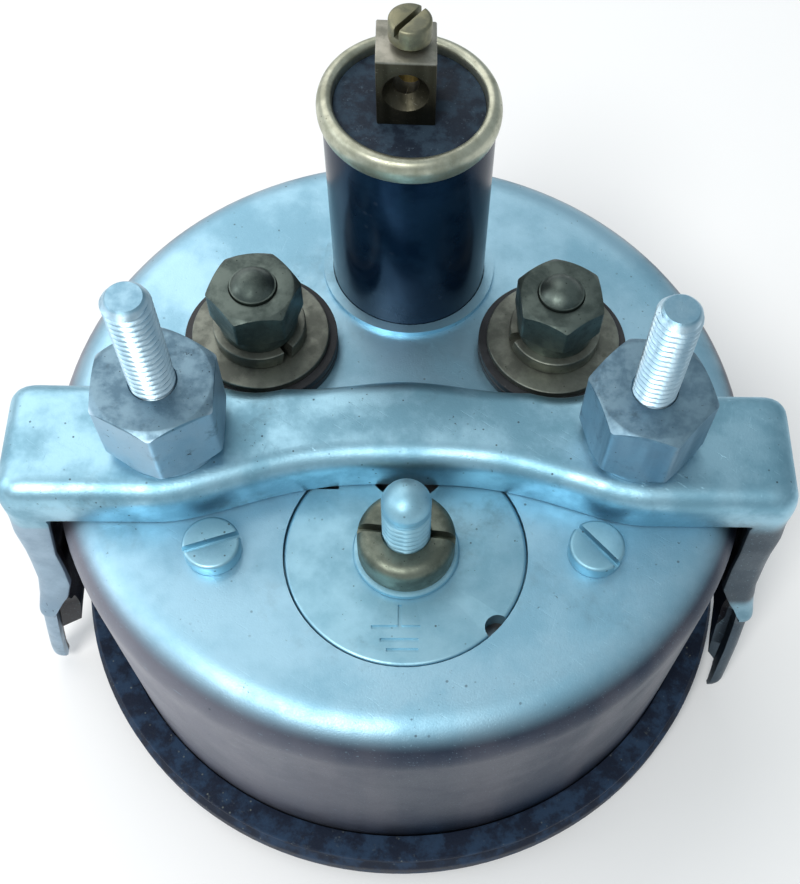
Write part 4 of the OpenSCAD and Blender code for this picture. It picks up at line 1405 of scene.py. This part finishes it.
@dataclass
class Bracket:
    """Pressed channel: a bridge over the case's back and a leg down each side.

    Attributes:
        clearance: gap between the rear flanges and the can.
        height: height of the bridge over the can's back.
        scoop: how far back the bridge's front edge goes in the middle.
        scoop_power: how late it turns in between scoop_half and the middle.
        bulge: how far back the bridge's rear edge goes in the middle.
        edge_r: outer radius between web and flanges on the bridge.
        nip: rounding of the flanges' free edges.
        least: least height of a flange over the sheet's thickness.
        toe_round: rounding of the toes' corners, over a height of toe_run.
        knee_z: height under which the web leans out, with the rear flange gone.
        knee_over: how far over that height the rear flange starts to close.
        leg_top: how far under the can's back a leg starts.
        lip_x: distance of the legs' front flange edges from the middle plane.
        bend_drop: how far under the can's back the bend's centre lies.
        bend_end: X that the bridge leaves to the bend.
        bend_step: degrees between the bend's rings.
        lift_end: angle of the bend at which the rear flange clears the can in full.
        bend_z: height over which the legs' edge radius goes over into the bridge's.
        seam: gap between the front edge's radius and the skewed web.
        seam_run: width over which the web is skewed.
        relief_at: middle of the rear edge's round relief on the right side.
        left_cut: X between which the arch is cut out of the left leg.
        right_cut: the same for the right leg.
    """

    case_r: float = 30.0
    clearance: float = 0.5
    rear_z: float = REAR_Z
    height: float = 4.4
    sheet: float = 1.4
    front_y: float = -10.7
    width: float = 11.0
    scoop: float = 3.7
    scoop_half: float = 20.0
    scoop_power: float = 1.5
    bulge: float = 0.9
    bulge_half: float = 9.0
    edge_r: float = 1.9
    leg_edge_r: float = 1.2
    inner_r: float = 0.6
    nip: float = 0.28
    least: float = 0.12
    outer_x: float = 32.3
    toe_z: float = 1.0
    toe_run: float = 1.0
    toe_round: float = 0.45
    knee_z: float = 19.0
    knee_run: float = 2.0
    knee_over: float = 1.5
    leg_top: float = 0.6
    lip_x: float = 28.6
    bend_drop: float = 0.2
    bend_r: float = 0.15
    bend_end: float = 0.4
    bend_step: int = 6
    lift_end: float = 60.0
    bend_z: float = 29.0
    bend_run: float = 3.0
    seam: float = 0.05
    seam_run: float = 0.5
    relief_at: Point = TERMINAL_STUDS[1]
    relief_r: float = 6.8
    holes: tuple[Point, Point] = CLAMP_STUDS
    hole_r: float = 2.05
    left_cut: Point = (-45.0, -25.0)
    right_cut: Point = (25.0, 45.0)
    left: Leg = Leg(
        ((32.4, 32.3), (26, 32.4), (20.2, 32.8), (16.8, 33.5), (12.6, 34.5), (7.4, 35.4),
         (3.1, 36.1), (1.0, 36.3)),
        ((32.4, 28.6), (26, 29.6), (22.5, 29.7), (20.0, 29.85), (17.6, 30.6), (15.8, 31.7),
         (14.8, 32.4), (14.0, 33.4), (10.0, 34.4), (1.0, 36.0)),
        ((24, -10.7), (20.6, -10.9), (18, -11.05), (16.6, -11.15), (15.8, -11.4), (15.1, -11.7),
         (14.5, -11.75), (13.8, -11.4), (13.2, -10.8), (12.0, -10.7), (1.0, -10.9)),
        ((-9.5, -1), (-9.45, 4.6), (-9.3, 6.2), (-8.8, 7.3), (-7.4, 8.3), (-5.4, 9.1),
         (-3.5, 9.4), (-1.8, 9.0), (-1.0, 7), (-0.8, -1)),
        ((32.4, 32.8), (11.0, 32.8), (1.0, 34.8)))
    right: Leg = Leg(
        ((32.4, 32.3), (26.2, 32.3), (19.9, 32.6), (14.5, 33.5), (11.4, 33.9), (7.5, 33.8),
         (3.5, 33.5), (1.0, 33.3)),
        ((32.4, 28.6), (27, 29.0), (23.5, 29.1), (19.7, 29.3), (17.0, 30.5), (15.2, 31.7),
         (14.4, 32.6), (14.0, 33.3)),
        ((24, -10.7), (20, -10.95), (17, -11.15), (15.9, -11.5), (15.2, -11.95), (14.5, -12.05),
         (14.0, -11.5), (13.7, -10.9), (11.4, -11.0), (7.5, -12.2), (3.5, -13.4), (1.0, -14.1)),
        ((-13.3, -1), (-13.2, 1.4), (-12.3, 3.3), (-9.9, 5.6), (-7.4, 8.6), (-5.5, 9.5),
         (-3.0, 9.4), (-1.6, 8.6), (-1.0, 7), (-0.8, -1)),
        ((32.4, 32.8), (1.0, 32.8)))

    def back_at(self, x: float) -> float:
        """Works out the bridge's rear edge.

        Args:
            x: place along the bridge.

        Returns:
            Y of the edge there.
        """
        bulge = self.bulge * (1 - smooth(abs(x) / self.bulge_half))
        back = self.front_y + self.width + bulge
        away = abs(abs(x) - self.relief_at[0])
        if away >= self.relief_r:
            return back
        return min(back, self.relief_at[1] - math.sqrt(self.relief_r ** 2 - away * away))

    def front_at(self, x: float) -> float:
        """Returns Y of the bridge's front edge at x."""
        share = min(abs(x) / self.scoop_half, 1) ** self.scoop_power
        return self.front_y + self.scoop * (1 - smooth(share))

    def section(self, origin: Point, way: Point, depth: float, front: float, back: float,
                lift: float, edge: float, skew: float = 0.0) -> Ring:
        """Makes one ring of the channel.

        Args:
            origin: X and Z of the sheet's free edge.
            way: direction from there to the web.
            depth: distance from the free edge to the web's outer face.
            front: Y of the front face.
            back: Y of the rear face.
            lift: how much shorter the rear flange is.
            edge: outer radius between web and flanges.
            skew: how much nearer the web's rear part is than its front edge.

        Returns:
            The ring's points.
        """
        t = self.sheet
        inner = depth - t
        rear = max(inner - lift, TINY)
        r = min(edge, depth - self.least)
        front_r, back_r = min(self.inner_r, inner * 0.8), min(self.inner_r, rear * 0.8)
        nip, back_nip = min(self.nip, 0.4 * inner), min(self.nip, 0.4 * rear)
        seam = front + max(r, t)
        seam_end = seam + self.seam + self.seam_run
        flat = max(seam_end, front + t + front_r + TINY)
        ring = self.free_edge(front, 0.0, nip)
        ring += arc((front + r, depth - r), r, 180, 90, 9)
        ring += [(seam + self.seam, depth), (seam_end, depth)]
        ring += arc((back - r, depth - r), r, 90, 0, 9)
        ring += self.free_edge(back, lift, -back_nip)[::-1]
        ring += self.free_edge(back - t, lift, back_nip)
        ring += arc((back - t - back_r, inner - back_r), back_r, 0, 90, 4)
        ring += [(flat + self.seam, inner), (flat, inner)]
        ring += arc((front + t + front_r, inner - front_r), front_r, 90, 180, 4)
        ring += self.free_edge(front + t, 0.0, -nip)[::-1]
        return [(origin[0] + way[0] * d - skew * smooth((y - seam - self.seam) / self.seam_run),
                 y, origin[1] + way[1] * d) for y, d in ring]

    @staticmethod
    def free_edge(y: float, depth: float, nip: float) -> list[Point]:
        """Returns one rounded corner of a flange's free edge, from its end to its side."""
        return [(y + nip, depth), (y + 0.3 * nip, depth + 0.3 * abs(nip)), (y, depth + abs(nip))]

    def across(self, x: float) -> Ring:
        """Returns the ring of the bridge at x."""
        return self.section((x, self.rear_z), (0, 1), self.height, self.front_at(x),
                            self.back_at(x), 0, self.edge_r)

    def bend(self) -> list[Ring]:
        """Makes the rings of the bend between bridge and leg, on the right side.

        Returns:
            The rings from the bridge to the leg.
        """
        x, z = self.lip_x, self.rear_z - self.bend_drop
        reach_x, reach_z = self.outer_x - x, self.rear_z + self.height - z
        lift = self.case_r + self.clearance - x
        rings = []
        for degrees in range(self.bend_step, 90, self.bend_step):
            a = math.radians(degrees)
            way = (math.sin(a), math.cos(a))
            depth = ((way[0] / reach_x) ** 4 + (way[1] / reach_z) ** 4) ** -0.25
            origin = (x + self.bend_r * way[0], z + self.bend_r * way[1])
            rings.append(self.section(
                origin, way, depth - self.bend_r, self.front_y, self.front_y + self.width,
                lift * smooth(degrees / self.lift_end), self.edge_r))
        return rings

    def shank(self, leg: Leg, steps: int = 90) -> list[Ring]:
        """Makes the rings of a leg, on the right side.

        Args:
            leg: outline of the leg.
            steps: number of steps down the leg.

        Returns:
            The rings from the bend down to the toes.
        """
        top = self.rear_z - self.leg_top
        rings = []
        for i in range(steps + 1):
            z = top - i * (top - self.toe_z) / steps
            outer = along(leg.outer, z)
            lip = min(along(leg.lip, z), outer - self.sheet - self.least)
            depth = outer - lip
            shut = depth - self.sheet - self.least
            lift = min(max(self.case_r + self.clearance - lip, 0), shut)
            lift = max(lift, shut * smooth((self.knee_z + self.knee_over - z) / self.knee_run))
            edge = self.leg_edge_r + (self.edge_r - self.leg_edge_r) * smooth(
                (z - self.bend_z) / self.bend_run)
            cut = self.toe_round * smooth((self.toe_z + self.toe_run - z) / self.toe_run)
            skew = max(outer - along(leg.web, z), 0) * smooth((self.knee_z - z) / self.knee_run)
            rings.append(self.section((lip, z), (1, 0), depth, along(leg.front, z) + cut,
                                      self.front_y + self.width - cut, lift, edge, skew))
        return rings

    def half(self, leg: Leg, steps: int = 36) -> list[Ring]:
        """Makes the rings of one half of the bracket, on the right side.

        Args:
            leg: outline of its leg.
            steps: number of steps along the bridge.

        Returns:
            The rings from beside the middle of the bridge to the toes.
        """
        end = self.lip_x - self.bend_end
        bridge = [self.across(i * end / steps) for i in range(1, steps + 1)]
        return bridge + self.bend() + self.shank(leg)

    def build(self) -> None:
        """Makes the bracket."""
        mirrored = [[(-x, y, z) for x, y, z in ring] for ring in reversed(self.half(self.left))]
        rings = mirrored + [self.across(0)] + self.half(self.right)
        made = Shape().skin(rings).mesh("bracket_channel", SMOOTH_SHEET)
        tools = [Shape().rod((x, y, self.rear_z - PAST), (x, y, self.rear_z + 2 * self.height),
                             self.hole_r) for x, y in self.holes]
        for leg, ends in ((self.left, self.left_cut), (self.right, self.right_cut)):
            tools.append(Shape().skin([[(x, y, z) for y, z in leg.arch] for x in ends]))
        carve(made, tools)
        shade(made, SMOOTH_SHEET)
        dress(made, Finish.BRACKET, "clamp", "bracket_zinc", "clamp_bracket")


@dataclass
class ClampHardware:
    """The two long threaded studs, with heads inside the can, and their tall nuts."""

    places: tuple[Point, Point] = CLAMP_STUDS
    turns: tuple[float, float] = (31, 47)
    thread: Thread = Thread(1.75, 1.42, 0.6)
    nut: HexNut = HexNut(9.0, 7.1, 1.77, 0.7)
    nut_z: float = 36.8
    head_r: float = 3.25
    head_h: float = 1.4
    inner_z: float = 31.4
    top_z: float = 54.0
    chamfer: float = 0.5

    def build(self) -> None:
        """Makes studs and nuts."""
        studs = Shape()
        low = self.inner_z - self.head_h
        for at in self.places:
            studs.lathe([(0, low), (self.head_r, low), (self.head_r, self.inner_z),
                         (0, self.inner_z)], at, ROD_STEPS, closed=False)
            self.thread.bar(studs, at, self.inner_z, self.top_z, chamfer=self.chamfer)
        dress(studs.mesh("threaded_clamp_studs", SMOOTH_THREAD), Finish.STUD, "housing",
              "zinc_steel", "clamp_studs")
        for side, at, turn in zip(("left", "right"), self.places, self.turns):
            nut = self.nut.build(Shape(), at, self.nut_z, turn).mesh(f"{side}_tall_nut")
            dress(nut, Finish.NUT, f"{side}_clamp_nut", "zinc_steel", f"{side}_clamp_nut")


@dataclass
class Terminals:
    """The two stud terminals with their nuts and washers.

    Attributes:
        groove: inset and height of the points of the groove round an insulating ring.
        collar: inner and outer radius of the round collar under a nut.
        overlap: how far the collar goes into the nut.
        bare_z: height over which the studs are plain.
        shoulder: width of the flat rim round a stud's dome.
    """

    places: tuple[Point, Point] = TERMINAL_STUDS
    turns: tuple[float, float] = (10, 35)
    gaps: tuple[float, float] = (-50, 195)
    thread: Thread = Thread(1.9, 1.6, 0.7)
    flat: Washer = Washer(5.8, 1.95, 0.7)
    lock: LockWasher = LockWasher(3.9, 1.95, 1.4)
    nut: HexNut = HexNut(6.8, 4.2, 1.92, 0.9)
    bore: float = 1.95
    ring_r: float = 6.5
    ring_edge: float = 0.1
    groove: tuple[Point, ...] = ((0.0, 33.05), (0.12, 33.1), (0.12, 33.2), (0.0, 33.25))
    collar: Point = (1.92, 3.25)
    collar_h: float = 0.5
    collar_edge: float = 0.08
    overlap: float = 0.05
    rear_z: float = REAR_Z
    flat_z: float = 33.9
    lock_z: float = 34.6
    nut_z: float = 36.0
    foot_z: float = 27.1
    bare_z: float = 40.2
    top_z: float = 41.9
    dome: float = 0.95
    shoulder: float = 0.1

    def build(self) -> None:
        """Makes the studs, the insulators, the washers and the nuts."""
        studs, rings = Shape(), Shape()
        low, high, edge = self.rear_z, self.flat_z, self.ring_r
        profile = [(self.bore, low), (edge, low)]
        profile += [(edge - inset, z) for inset, z in self.groove]
        profile += [(edge, high), (self.bore, high)]
        for at in self.places:
            self.thread.bar(studs, at, self.foot_z, self.top_z, dome=self.dome,
                            bare_from=self.bare_z, shoulder=self.shoulder)
            rings.lathe(rounded(profile, self.ring_edge), at)
        dress(studs.mesh("domed_terminal_studs", SMOOTH_THREAD), Finish.BRASS, "housing",
              "dull_brass", "terminal_studs")
        dress(rings.mesh("insulating_rings"), Finish.INSULATOR, "housing", "insulator_black",
              "terminal_insulators")
        for side, at, turn, gap in zip(("left", "right"), self.places, self.turns, self.gaps):
            washer = self.flat.build(Shape(), at, self.flat_z).mesh(f"{side}_brass_washer")
            dress(washer, Finish.WASHER, f"{side}_washers", "dull_brass", f"{side}_flat_washer")
            washer = self.lock.build(Shape(), at, self.lock_z, gap).mesh(f"{side}_split_washer")
            dress(washer, Finish.WASHER, f"{side}_washers", "dull_brass", f"{side}_lock_washer")
            dress(self.collared_nut(at, turn).mesh(f"{side}_brass_nut"), Finish.BRASS,
                  f"{side}_terminal_nut", "dull_brass", f"{side}_terminal_nut")

    def collared_nut(self, at: Point, turn: float) -> Shape:
        """Makes a nut on its round collar.

        Args:
            at: place of its axis.
            turn: angle of a corner in degrees.

        Returns:
            The shape of both.
        """
        (inner, outer), low = self.collar, self.nut_z
        seat = low + self.collar_h
        high = seat + self.overlap
        corners = [(inner, low), (outer, low), (outer, high), (inner, high)]
        shape = Shape().lathe(rounded(corners, self.collar_edge), at)
        return self.nut.build(shape, at, seat, turn)


@dataclass
class GroundPost:
    """The ground stud, its washer and its slotted round nut.

    Attributes:
        head_z: lower and upper height of the stud's head inside the can.
        bare_z: height over which the stud is plain.
        crown_r: radius of the nut's upper edge.
        mouth: points of the bore's mouth, as radius and depth under the nut's top.
        slot: half the width, depth and half the length of the nut's slot.
    """

    at: Point = AXIS
    thread: Thread = Thread(1.9, 1.62, 0.7)
    washer: Washer = Washer(4.3, 1.95, 0.7, 0.3)
    rear_z: float = REAR_Z
    head_r: float = 3.4
    head_z: Point = (29.8, 30.6)
    bare_z: float = 40.2
    top_z: float = 42.6
    dome: float = 1.5
    nut_z: float = 33.1
    nut_h: float = 3.0
    nut_r: float = 3.9
    nut_foot: float = 0.1
    crown_r: float = 1.0
    bore: float = 1.95
    mouth: tuple[Point, Point] = ((2.0, 0.0), (1.93, 0.07))
    slot: Place = (0.33, 1.1, 6.0)
    slot_turn: float = -6.0
    soft: float = 0.06

    def build(self) -> None:
        """Makes stud, washer and nut."""
        low, high = self.head_z
        shape = Shape().lathe([(0, low), (self.head_r, low), (self.head_r, high), (0, high)],
                              self.at, ROD_STEPS, closed=False)
        self.thread.bar(shape, self.at, high, self.top_z, dome=self.dome, bare_from=self.bare_z)
        dress(shape.mesh("domed_ground_stud", SMOOTH_THREAD), Finish.DISC, "housing",
              "zinc_steel", "ground_stud")
        washer = self.washer.build(Shape(), self.at, self.rear_z).mesh("ground_ring")
        dress(washer, Finish.DISC, "ground_washer", "zinc_steel", "ground_washer")
        dress(self.nut(), Finish.OLIVE, "ground_nut", "dull_brass", "ground_nut")

    def nut(self) -> bpy.types.Object:
        """Makes the nut.

        Returns:
            The piece.
        """
        r, crown, foot, low = self.nut_r, self.crown_r, self.nut_foot, self.nut_z
        top = low + self.nut_h
        profile = [(self.bore, low), (r - foot, low), (r, low + foot)]
        profile += arc((r - crown, top - crown), crown, 0, 90, 8)
        profile += [(mouth_r, top - under) for mouth_r, under in self.mouth]
        made = Shape().lathe(profile, self.at).mesh("slotted_round_nut")
        half, depth, reach = self.slot
        cut = Shape().box((-reach, -half, top - depth), (reach, half, top + PAST),
                          self.slot_turn, self.at)
        carve(made, [cut])
        soften(made, self.soft)
        return made


@dataclass
class LampHolder:
    """The black tube and the brass holder plugged into it.

    Attributes:
        tube: inner and outer radius of the tube.
        rim_z: height at which the rolled rim takes over from the CAD sleeve.
        block_x: the block's left and right faces, from the axis.
        stem: radius, lower and upper height of the block's stem.
        rivet: the same of the rivet under the fibre disc.
        wire_reach: how far the wire hole's cutter reaches to each side.
        sink: depth of the hole's flared ends, whose radius is sink_r at the block's faces.
        sink_past: how far their cutters stand past the block.
    """

    at: Point = (0.0, 15.7)
    steps: int = 128
    tube: Point = (6.1, 6.8)
    tube_z: Point = (22.4, 51.0)
    tube_edge: float = 0.2
    fibre: tuple[Point, ...] = ((1.6, 50.15), (5.49, 50.15), (5.49, 51.6), (5.9, 51.6),
                                (5.9, 51.95), (1.6, 51.95))
    fibre_edge: float = 0.07
    rim_z: float = 50.5
    rim: tuple[Point, ...] = (
        (5.6, 50.5), (5.6, 51.55), (5.92, 51.55), (5.92, 52.4), (6.04, 52.72), (6.36, 52.87),
        (6.74, 52.8), (7.02, 52.5), (7.18, 52.0), (7.15, 51.4), (7.0, 50.95), (6.83, 50.72),
        (6.83, 51.03), (6.04, 51.03), (6.04, 50.5))
    rim_edge: float = 0.3
    block_z: Point = (51.95, 57.95)
    block_x: Point = (-2.5, 1.95)
    block_half: float = 2.15
    block_soft: float = 0.12
    stem: Place = (1.5, 49.6, 52.25)
    rivet: Place = (2.3, 48.95, 50.1)
    wire_z: float = 55.1
    wire_r: float = 1.0
    wire_reach: float = 4.0
    sink: float = 1.0
    sink_r: float = 1.75
    sink_past: float = 0.2
    screw_hole_r: float = 0.95
    screw: SlottedHead = SlottedHead(radius=1.6, height=1.62, shank=0.9, shank_length=3.45,
                                     slot=0.42, slot_depth=0.8, edge=0.25)
    screw_z: float = 58.43
    screw_turn: float = 52.0
    finishes: tuple[tuple[str, Finish], ...] = (
        ("contact_plunger", Finish.GOLD), ("contact_spring", Finish.STEEL),
        ("bulb_base", Finish.GOLD))

    def ring(self, profile: Sequence[Point], edge: float, name: str) -> bpy.types.Object:
        """Returns a ring about the tube's axis with the half profile's corners rounded by edge."""
        return Shape().lathe(rounded(profile, edge), self.at, self.steps).mesh(name)

    def sleeve(self, frame: dict) -> bpy.types.Object:
        """Makes the sleeve, from the CAD sleeve under the rim and a rolled rim on it.


        Returns:
            The piece.
        """
        made = copy_node(frame, "lamp_sleeve", "beaded_sleeve")
        bm = bmesh.new()
        bm.from_mesh(made.data)
        bmesh.ops.bisect_plane(bm, geom=bm.verts[:] + bm.edges[:] + bm.faces[:], dist=1e-6,
                               plane_co=(0, 0, self.rim_z * MM), plane_no=(0, 0, 1),
                               clear_outer=True)
        bmesh.ops.bridge_loops(bm, edges=[e for e in bm.edges if e.is_boundary])
        bm.to_mesh(made.data)
        bm.free()
        join(made, [self.ring(self.rim, self.rim_edge, "rim")])
        shade(made)
        return made

    def block(self) -> bpy.types.Object:
        """Makes the square block with its stem, rivet, wire hole and screw hole.

        Returns:
            The piece.
        """
        (x, y), (left, right), (low, high) = self.at, self.block_x, self.block_z
        half, z, middle = self.block_half, self.wire_z, x + (left + right) / 2
        shape = Shape().box((x + left, y - half, low), (x + right, y + half, high))
        for radius, foot, top in (self.stem, self.rivet):
            shape.rod((x, y, foot), (x, y, top), radius)
        made = shape.mesh("wire_block")
        soften(made, self.block_soft)
        tools = [Shape().rod((middle, y - self.wire_reach, z), (middle, y + self.wire_reach, z),
                             self.wire_r),
                 Shape().rod((x, y, z), (x, y, high + PAST), self.screw_hole_r)]
        flare = (self.sink_r - self.wire_r) / self.sink
        for side in (-1, 1):
            tools.append(Shape().rod((middle, y + side * (half + self.sink_past), z),
                                     (middle, y + side * (half - self.sink), z),
                                     self.sink_r + self.sink_past * flare, self.wire_r))
        carve(made, tools)
        return made

    def build(self, frame: dict) -> None:
        """Makes the tube, and dresses the holder's pieces.
        """
        (inner, outer), (low, high) = self.tube, self.tube_z
        corners = [(inner, low), (outer, low), (outer, high), (inner, high)]
        tube = self.ring(corners, self.tube_edge, "gloss_tube")
        dress(tube, Finish.TUBE, "housing", "tube_black", "lamp_tube")
        dress(self.sleeve(frame), Finish.GOLD, "lamp_holder", "bright_brass", "lamp_sleeve")
        disc = self.ring(self.fibre, self.fibre_edge, "fibre_washer")
        dress(disc, Finish.FIBRE, "lamp_holder", "fibre_blue", "fibre_disc")
        dress(self.block(), Finish.BLOCK, "lamp_holder", "dull_brass", "terminal_block")
        screw = self.screw.build("wire_screw", self.at, self.screw_z, self.screw_turn)
        dress(screw, Finish.PATINA, "wire_clamp_screw", "bright_brass", "wire_clamp_screw")
        paint(frame, self.finishes)
        bulb = copy_node(frame, "bulb_glass", "clear_bulb")
        dress(bulb, Finish.BULB, "bulb", "clear_glass", "bulb_glass")


@dataclass
class Case:
    """The can, the disc in its back and the movement's screws.

    Attributes:
        flange: radius, lower and upper height of the disc's hidden flange.
        window: distance from the disc's middle and radius of its round window.
        notch: angle in degrees and radius of its locating notch.
        slot: corners of its slot.
        earth_sign: the sign's strokes, as left, right, front and rear edge.
    """

    rear_z: float = REAR_Z
    disc_at: Point = AXIS
    disc_r: float = 9.8
    disc_edge: float = 0.3
    flange: Place = (11.2, 30.6, 31.4)
    bore: float = 1.9
    window: Point = (8.0, 3.3)
    notch: Point = (-42.0, 1.05)
    slot: tuple[Point, Point] = ((-7.4, -7.4), (-5.6, -5.8))
    sign_depth: float = 0.18
    earth_sign: tuple[tuple[float, float, float, float], ...] = (
        (-0.62, -0.32, -19.6, -17.7), (-2.7, 1.15, -19.72, -19.42),
        (-2.0, 1.0, -20.8, -20.5), (-1.5, 1.0, -21.62, -21.34))
    screw: SlottedHead = SlottedHead(radius=2.3, height=1.5, shank=1.25, shank_length=6.0,
                                     slot=0.6, slot_depth=0.8)
    screw_places: tuple[Point, Point] = ((-15.4, -13.0), (15.4, -13.0))
    screw_turns: tuple[float, float] = (19, -48)

    def disc(self) -> bpy.types.Object:
        """Makes the disc with its rounded edge, window, slot, notch and earth sign.

        Returns:
            The piece.
        """
        (x, y), top, edge = self.disc_at, self.rear_z, self.disc_edge
        outer, low, step = self.flange
        profile = [(self.bore, low), (outer, low), (outer, step), (self.disc_r, step)]
        profile += arc((self.disc_r - edge, top - edge), edge, 0, 90, 4) + [(self.bore, top)]
        made = Shape().lathe(profile, self.disc_at, 160).mesh("back_disc")
        away, window_r = self.window
        turn = math.radians(self.notch[0])
        nick = (x + self.disc_r * math.cos(turn), y + self.disc_r * math.sin(turn))
        under, over = low - PAST, top + PAST
        tools = [Shape().rod((x, y + away, under), (x, y + away, over), window_r),
                 Shape().rod((*nick, under), (*nick, over), self.notch[1]),
                 Shape().box((*self.slot[0], under), (*self.slot[1], over))]
        tools += [Shape().box((x0, y0, top - self.sign_depth), (x1, y1, over))
                  for x0, x1, y0, y1 in self.earth_sign]
        carve(made, tools)
        return made

    def screws(self) -> bpy.types.Object:
        """Makes the two screws as one piece.

        Returns:
            The piece.
        """
        made, other = [self.screw.build(f"screw_{i}", at, self.rear_z, turn)
                       for i, (at, turn) in enumerate(zip(self.screw_places, self.screw_turns))]
        made.name = made.data.name = "cheese_head_screws"
        join(made, [other])
        shade(made)
        return made

    def build(self, frame: dict) -> None:
        """Dresses the can and the disc, and makes the screws.
        """
        can = copy_node(frame, "case_can", "drawn_can")
        dress(can, Finish.CASE, "housing", "case_metal", "case_can")
        dress(self.disc(), Finish.DISC, "housing", "case_metal", "base_disc")
        dress(self.screws(), Finish.DISC, "housing", "zinc_steel", "movement_screws")


@dataclass
class Front:
    """Bezel, seals, glass, dial, pointer and the dial's print.

    Attributes:
        sweep: degrees from the cold end of the scale to the hot end.
        low: temperature at the cold end, with high at the hot end.
        line: half the width of the scale's line.
        overrun: degrees by which that line passes the last marks.
        long_mark: length and half the width of every second mark.
        short_mark: the same of the marks between.
        number_r: radius on which the numbers stand.
        ink: half the thickness of the print.
    """

    centre: Point = AXIS
    dial_z: float = 5.6
    sweep: float = 90.0
    low: int = 40
    high: int = 120
    mark_step: int = 10
    number_step: int = 40
    scale_r: float = 24.0
    line: float = 0.2
    overrun: float = 0.5
    long_mark: Point = (3.2, 0.35)
    short_mark: Point = (1.8, 0.15)
    number_r: float = 29.2
    number_size: float = 3.8
    unit_y: float = 3.0
    unit_size: float = 3.6
    ink: float = 0.03
    edge: float = 0.15
    finishes: tuple[tuple[str, Finish], ...] = (
        ("glass_lens", Finish.GLASS), ("glass_seal", Finish.RUBBER),
        ("dial_spacer", Finish.DIAL), ("dial_plate", Finish.DIAL),
        ("dial_screws", Finish.STEEL), ("pointer_stops", Finish.STEEL),
        ("pointer_needle", Finish.WHITE), ("pointer_hub", Finish.DIAL),
        ("pointer_spindle", Finish.STEEL), ("magnet_rotor", Finish.MAGNET))

    def place(self, share: float, radius: float) -> Place:
        """Returns the place on the dial at a share of the sweep and a radius."""
        angle = math.radians(90 - self.sweep / 2 + self.sweep * share)
        return (self.centre[0] + radius * math.cos(angle),
                self.centre[1] + radius * math.sin(angle), self.dial_z)

    def print_dial(self) -> None:
        """Prints the scale with plain numbers, cold at the viewer's left."""
        shape = Shape()
        low, high = self.dial_z - self.ink, self.dial_z + self.ink
        start, r = 90 - self.sweep / 2, self.scale_r
        shape.band(self.centre, (r - self.line, r + self.line), (low, high),
                   start - self.overrun, start + self.sweep + self.overrun)
        span = self.high - self.low
        marks = span // self.mark_step
        for i in range(marks + 1):
            length, half = self.short_mark if i % 2 else self.long_mark
            shape.box((r, -half, low), (r + length, half, high),
                      start + self.sweep * i / marks, self.centre)
        for value in range(self.low, self.high + 1, self.number_step):
            shape.words(str(value), self.number_size,
                        self.place((value - self.low) / span, self.number_r), self.ink)
        shape.words("\u00b0C", self.unit_size, (0, self.unit_y, self.dial_z), self.ink)
        dress(shape.mesh("dial_scale"), Finish.PRINT, "housing", "pointer_white")

    def build(self, frame: dict) -> None:
        """Dresses the front's pieces and prints the dial.
        """
        self.print_dial()
        bezel = copy_node(frame, "bezel", "rolled_bezel", self.edge)
        dress(bezel, Finish.BEZEL, "housing", "bezel_black", "bezel")
        seal = copy_node(frame, "panel_seal", "rubber_ring", self.edge)
        dress(seal, Finish.RUBBER, "housing", "seal_rubber", "panel_seal")
        paint(frame, self.finishes)


@dataclass
class Movement:
    """Everything inside the can."""

    finishes: tuple[tuple[str, Finish], ...] = (
        ("movement_frame", Finish.STEEL), ("bearing_strip", Finish.STEEL),
        ("pivot_bearings", Finish.GOLD), ("coil_former", Finish.FORMER),
        ("inner_coil", Finish.COPPER), ("outer_coil", Finish.COPPER),
        ("magnet_shield", Finish.STEEL), ("ballast_resistor", Finish.LACQUER),
        ("connecting_wires", Finish.LEAD), ("solder_tags", Finish.GOLD),
        ("inner_nuts", Finish.BRASS), ("terminal_bushes", Finish.INSULATOR),
    )

    def build(self, frame: dict) -> None:
        """Dresses the movement's pieces."""
        paint(frame, self.finishes)


def main(frame: dict) -> None:
    """Builds every sub-assembly in order.
    """
    Camera().build()
    Studio().build()
    Case().build(frame)
    Front().build(frame)
    Movement().build(frame)
    Bracket().build()
    ClampHardware().build()
    Terminals().build()
    GroundPost().build()
    LampHolder().build(frame)


if __name__ == "__main__":
    logging.basicConfig(level=logging.INFO, format="%(message)s")
    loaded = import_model()
    main(loaded)
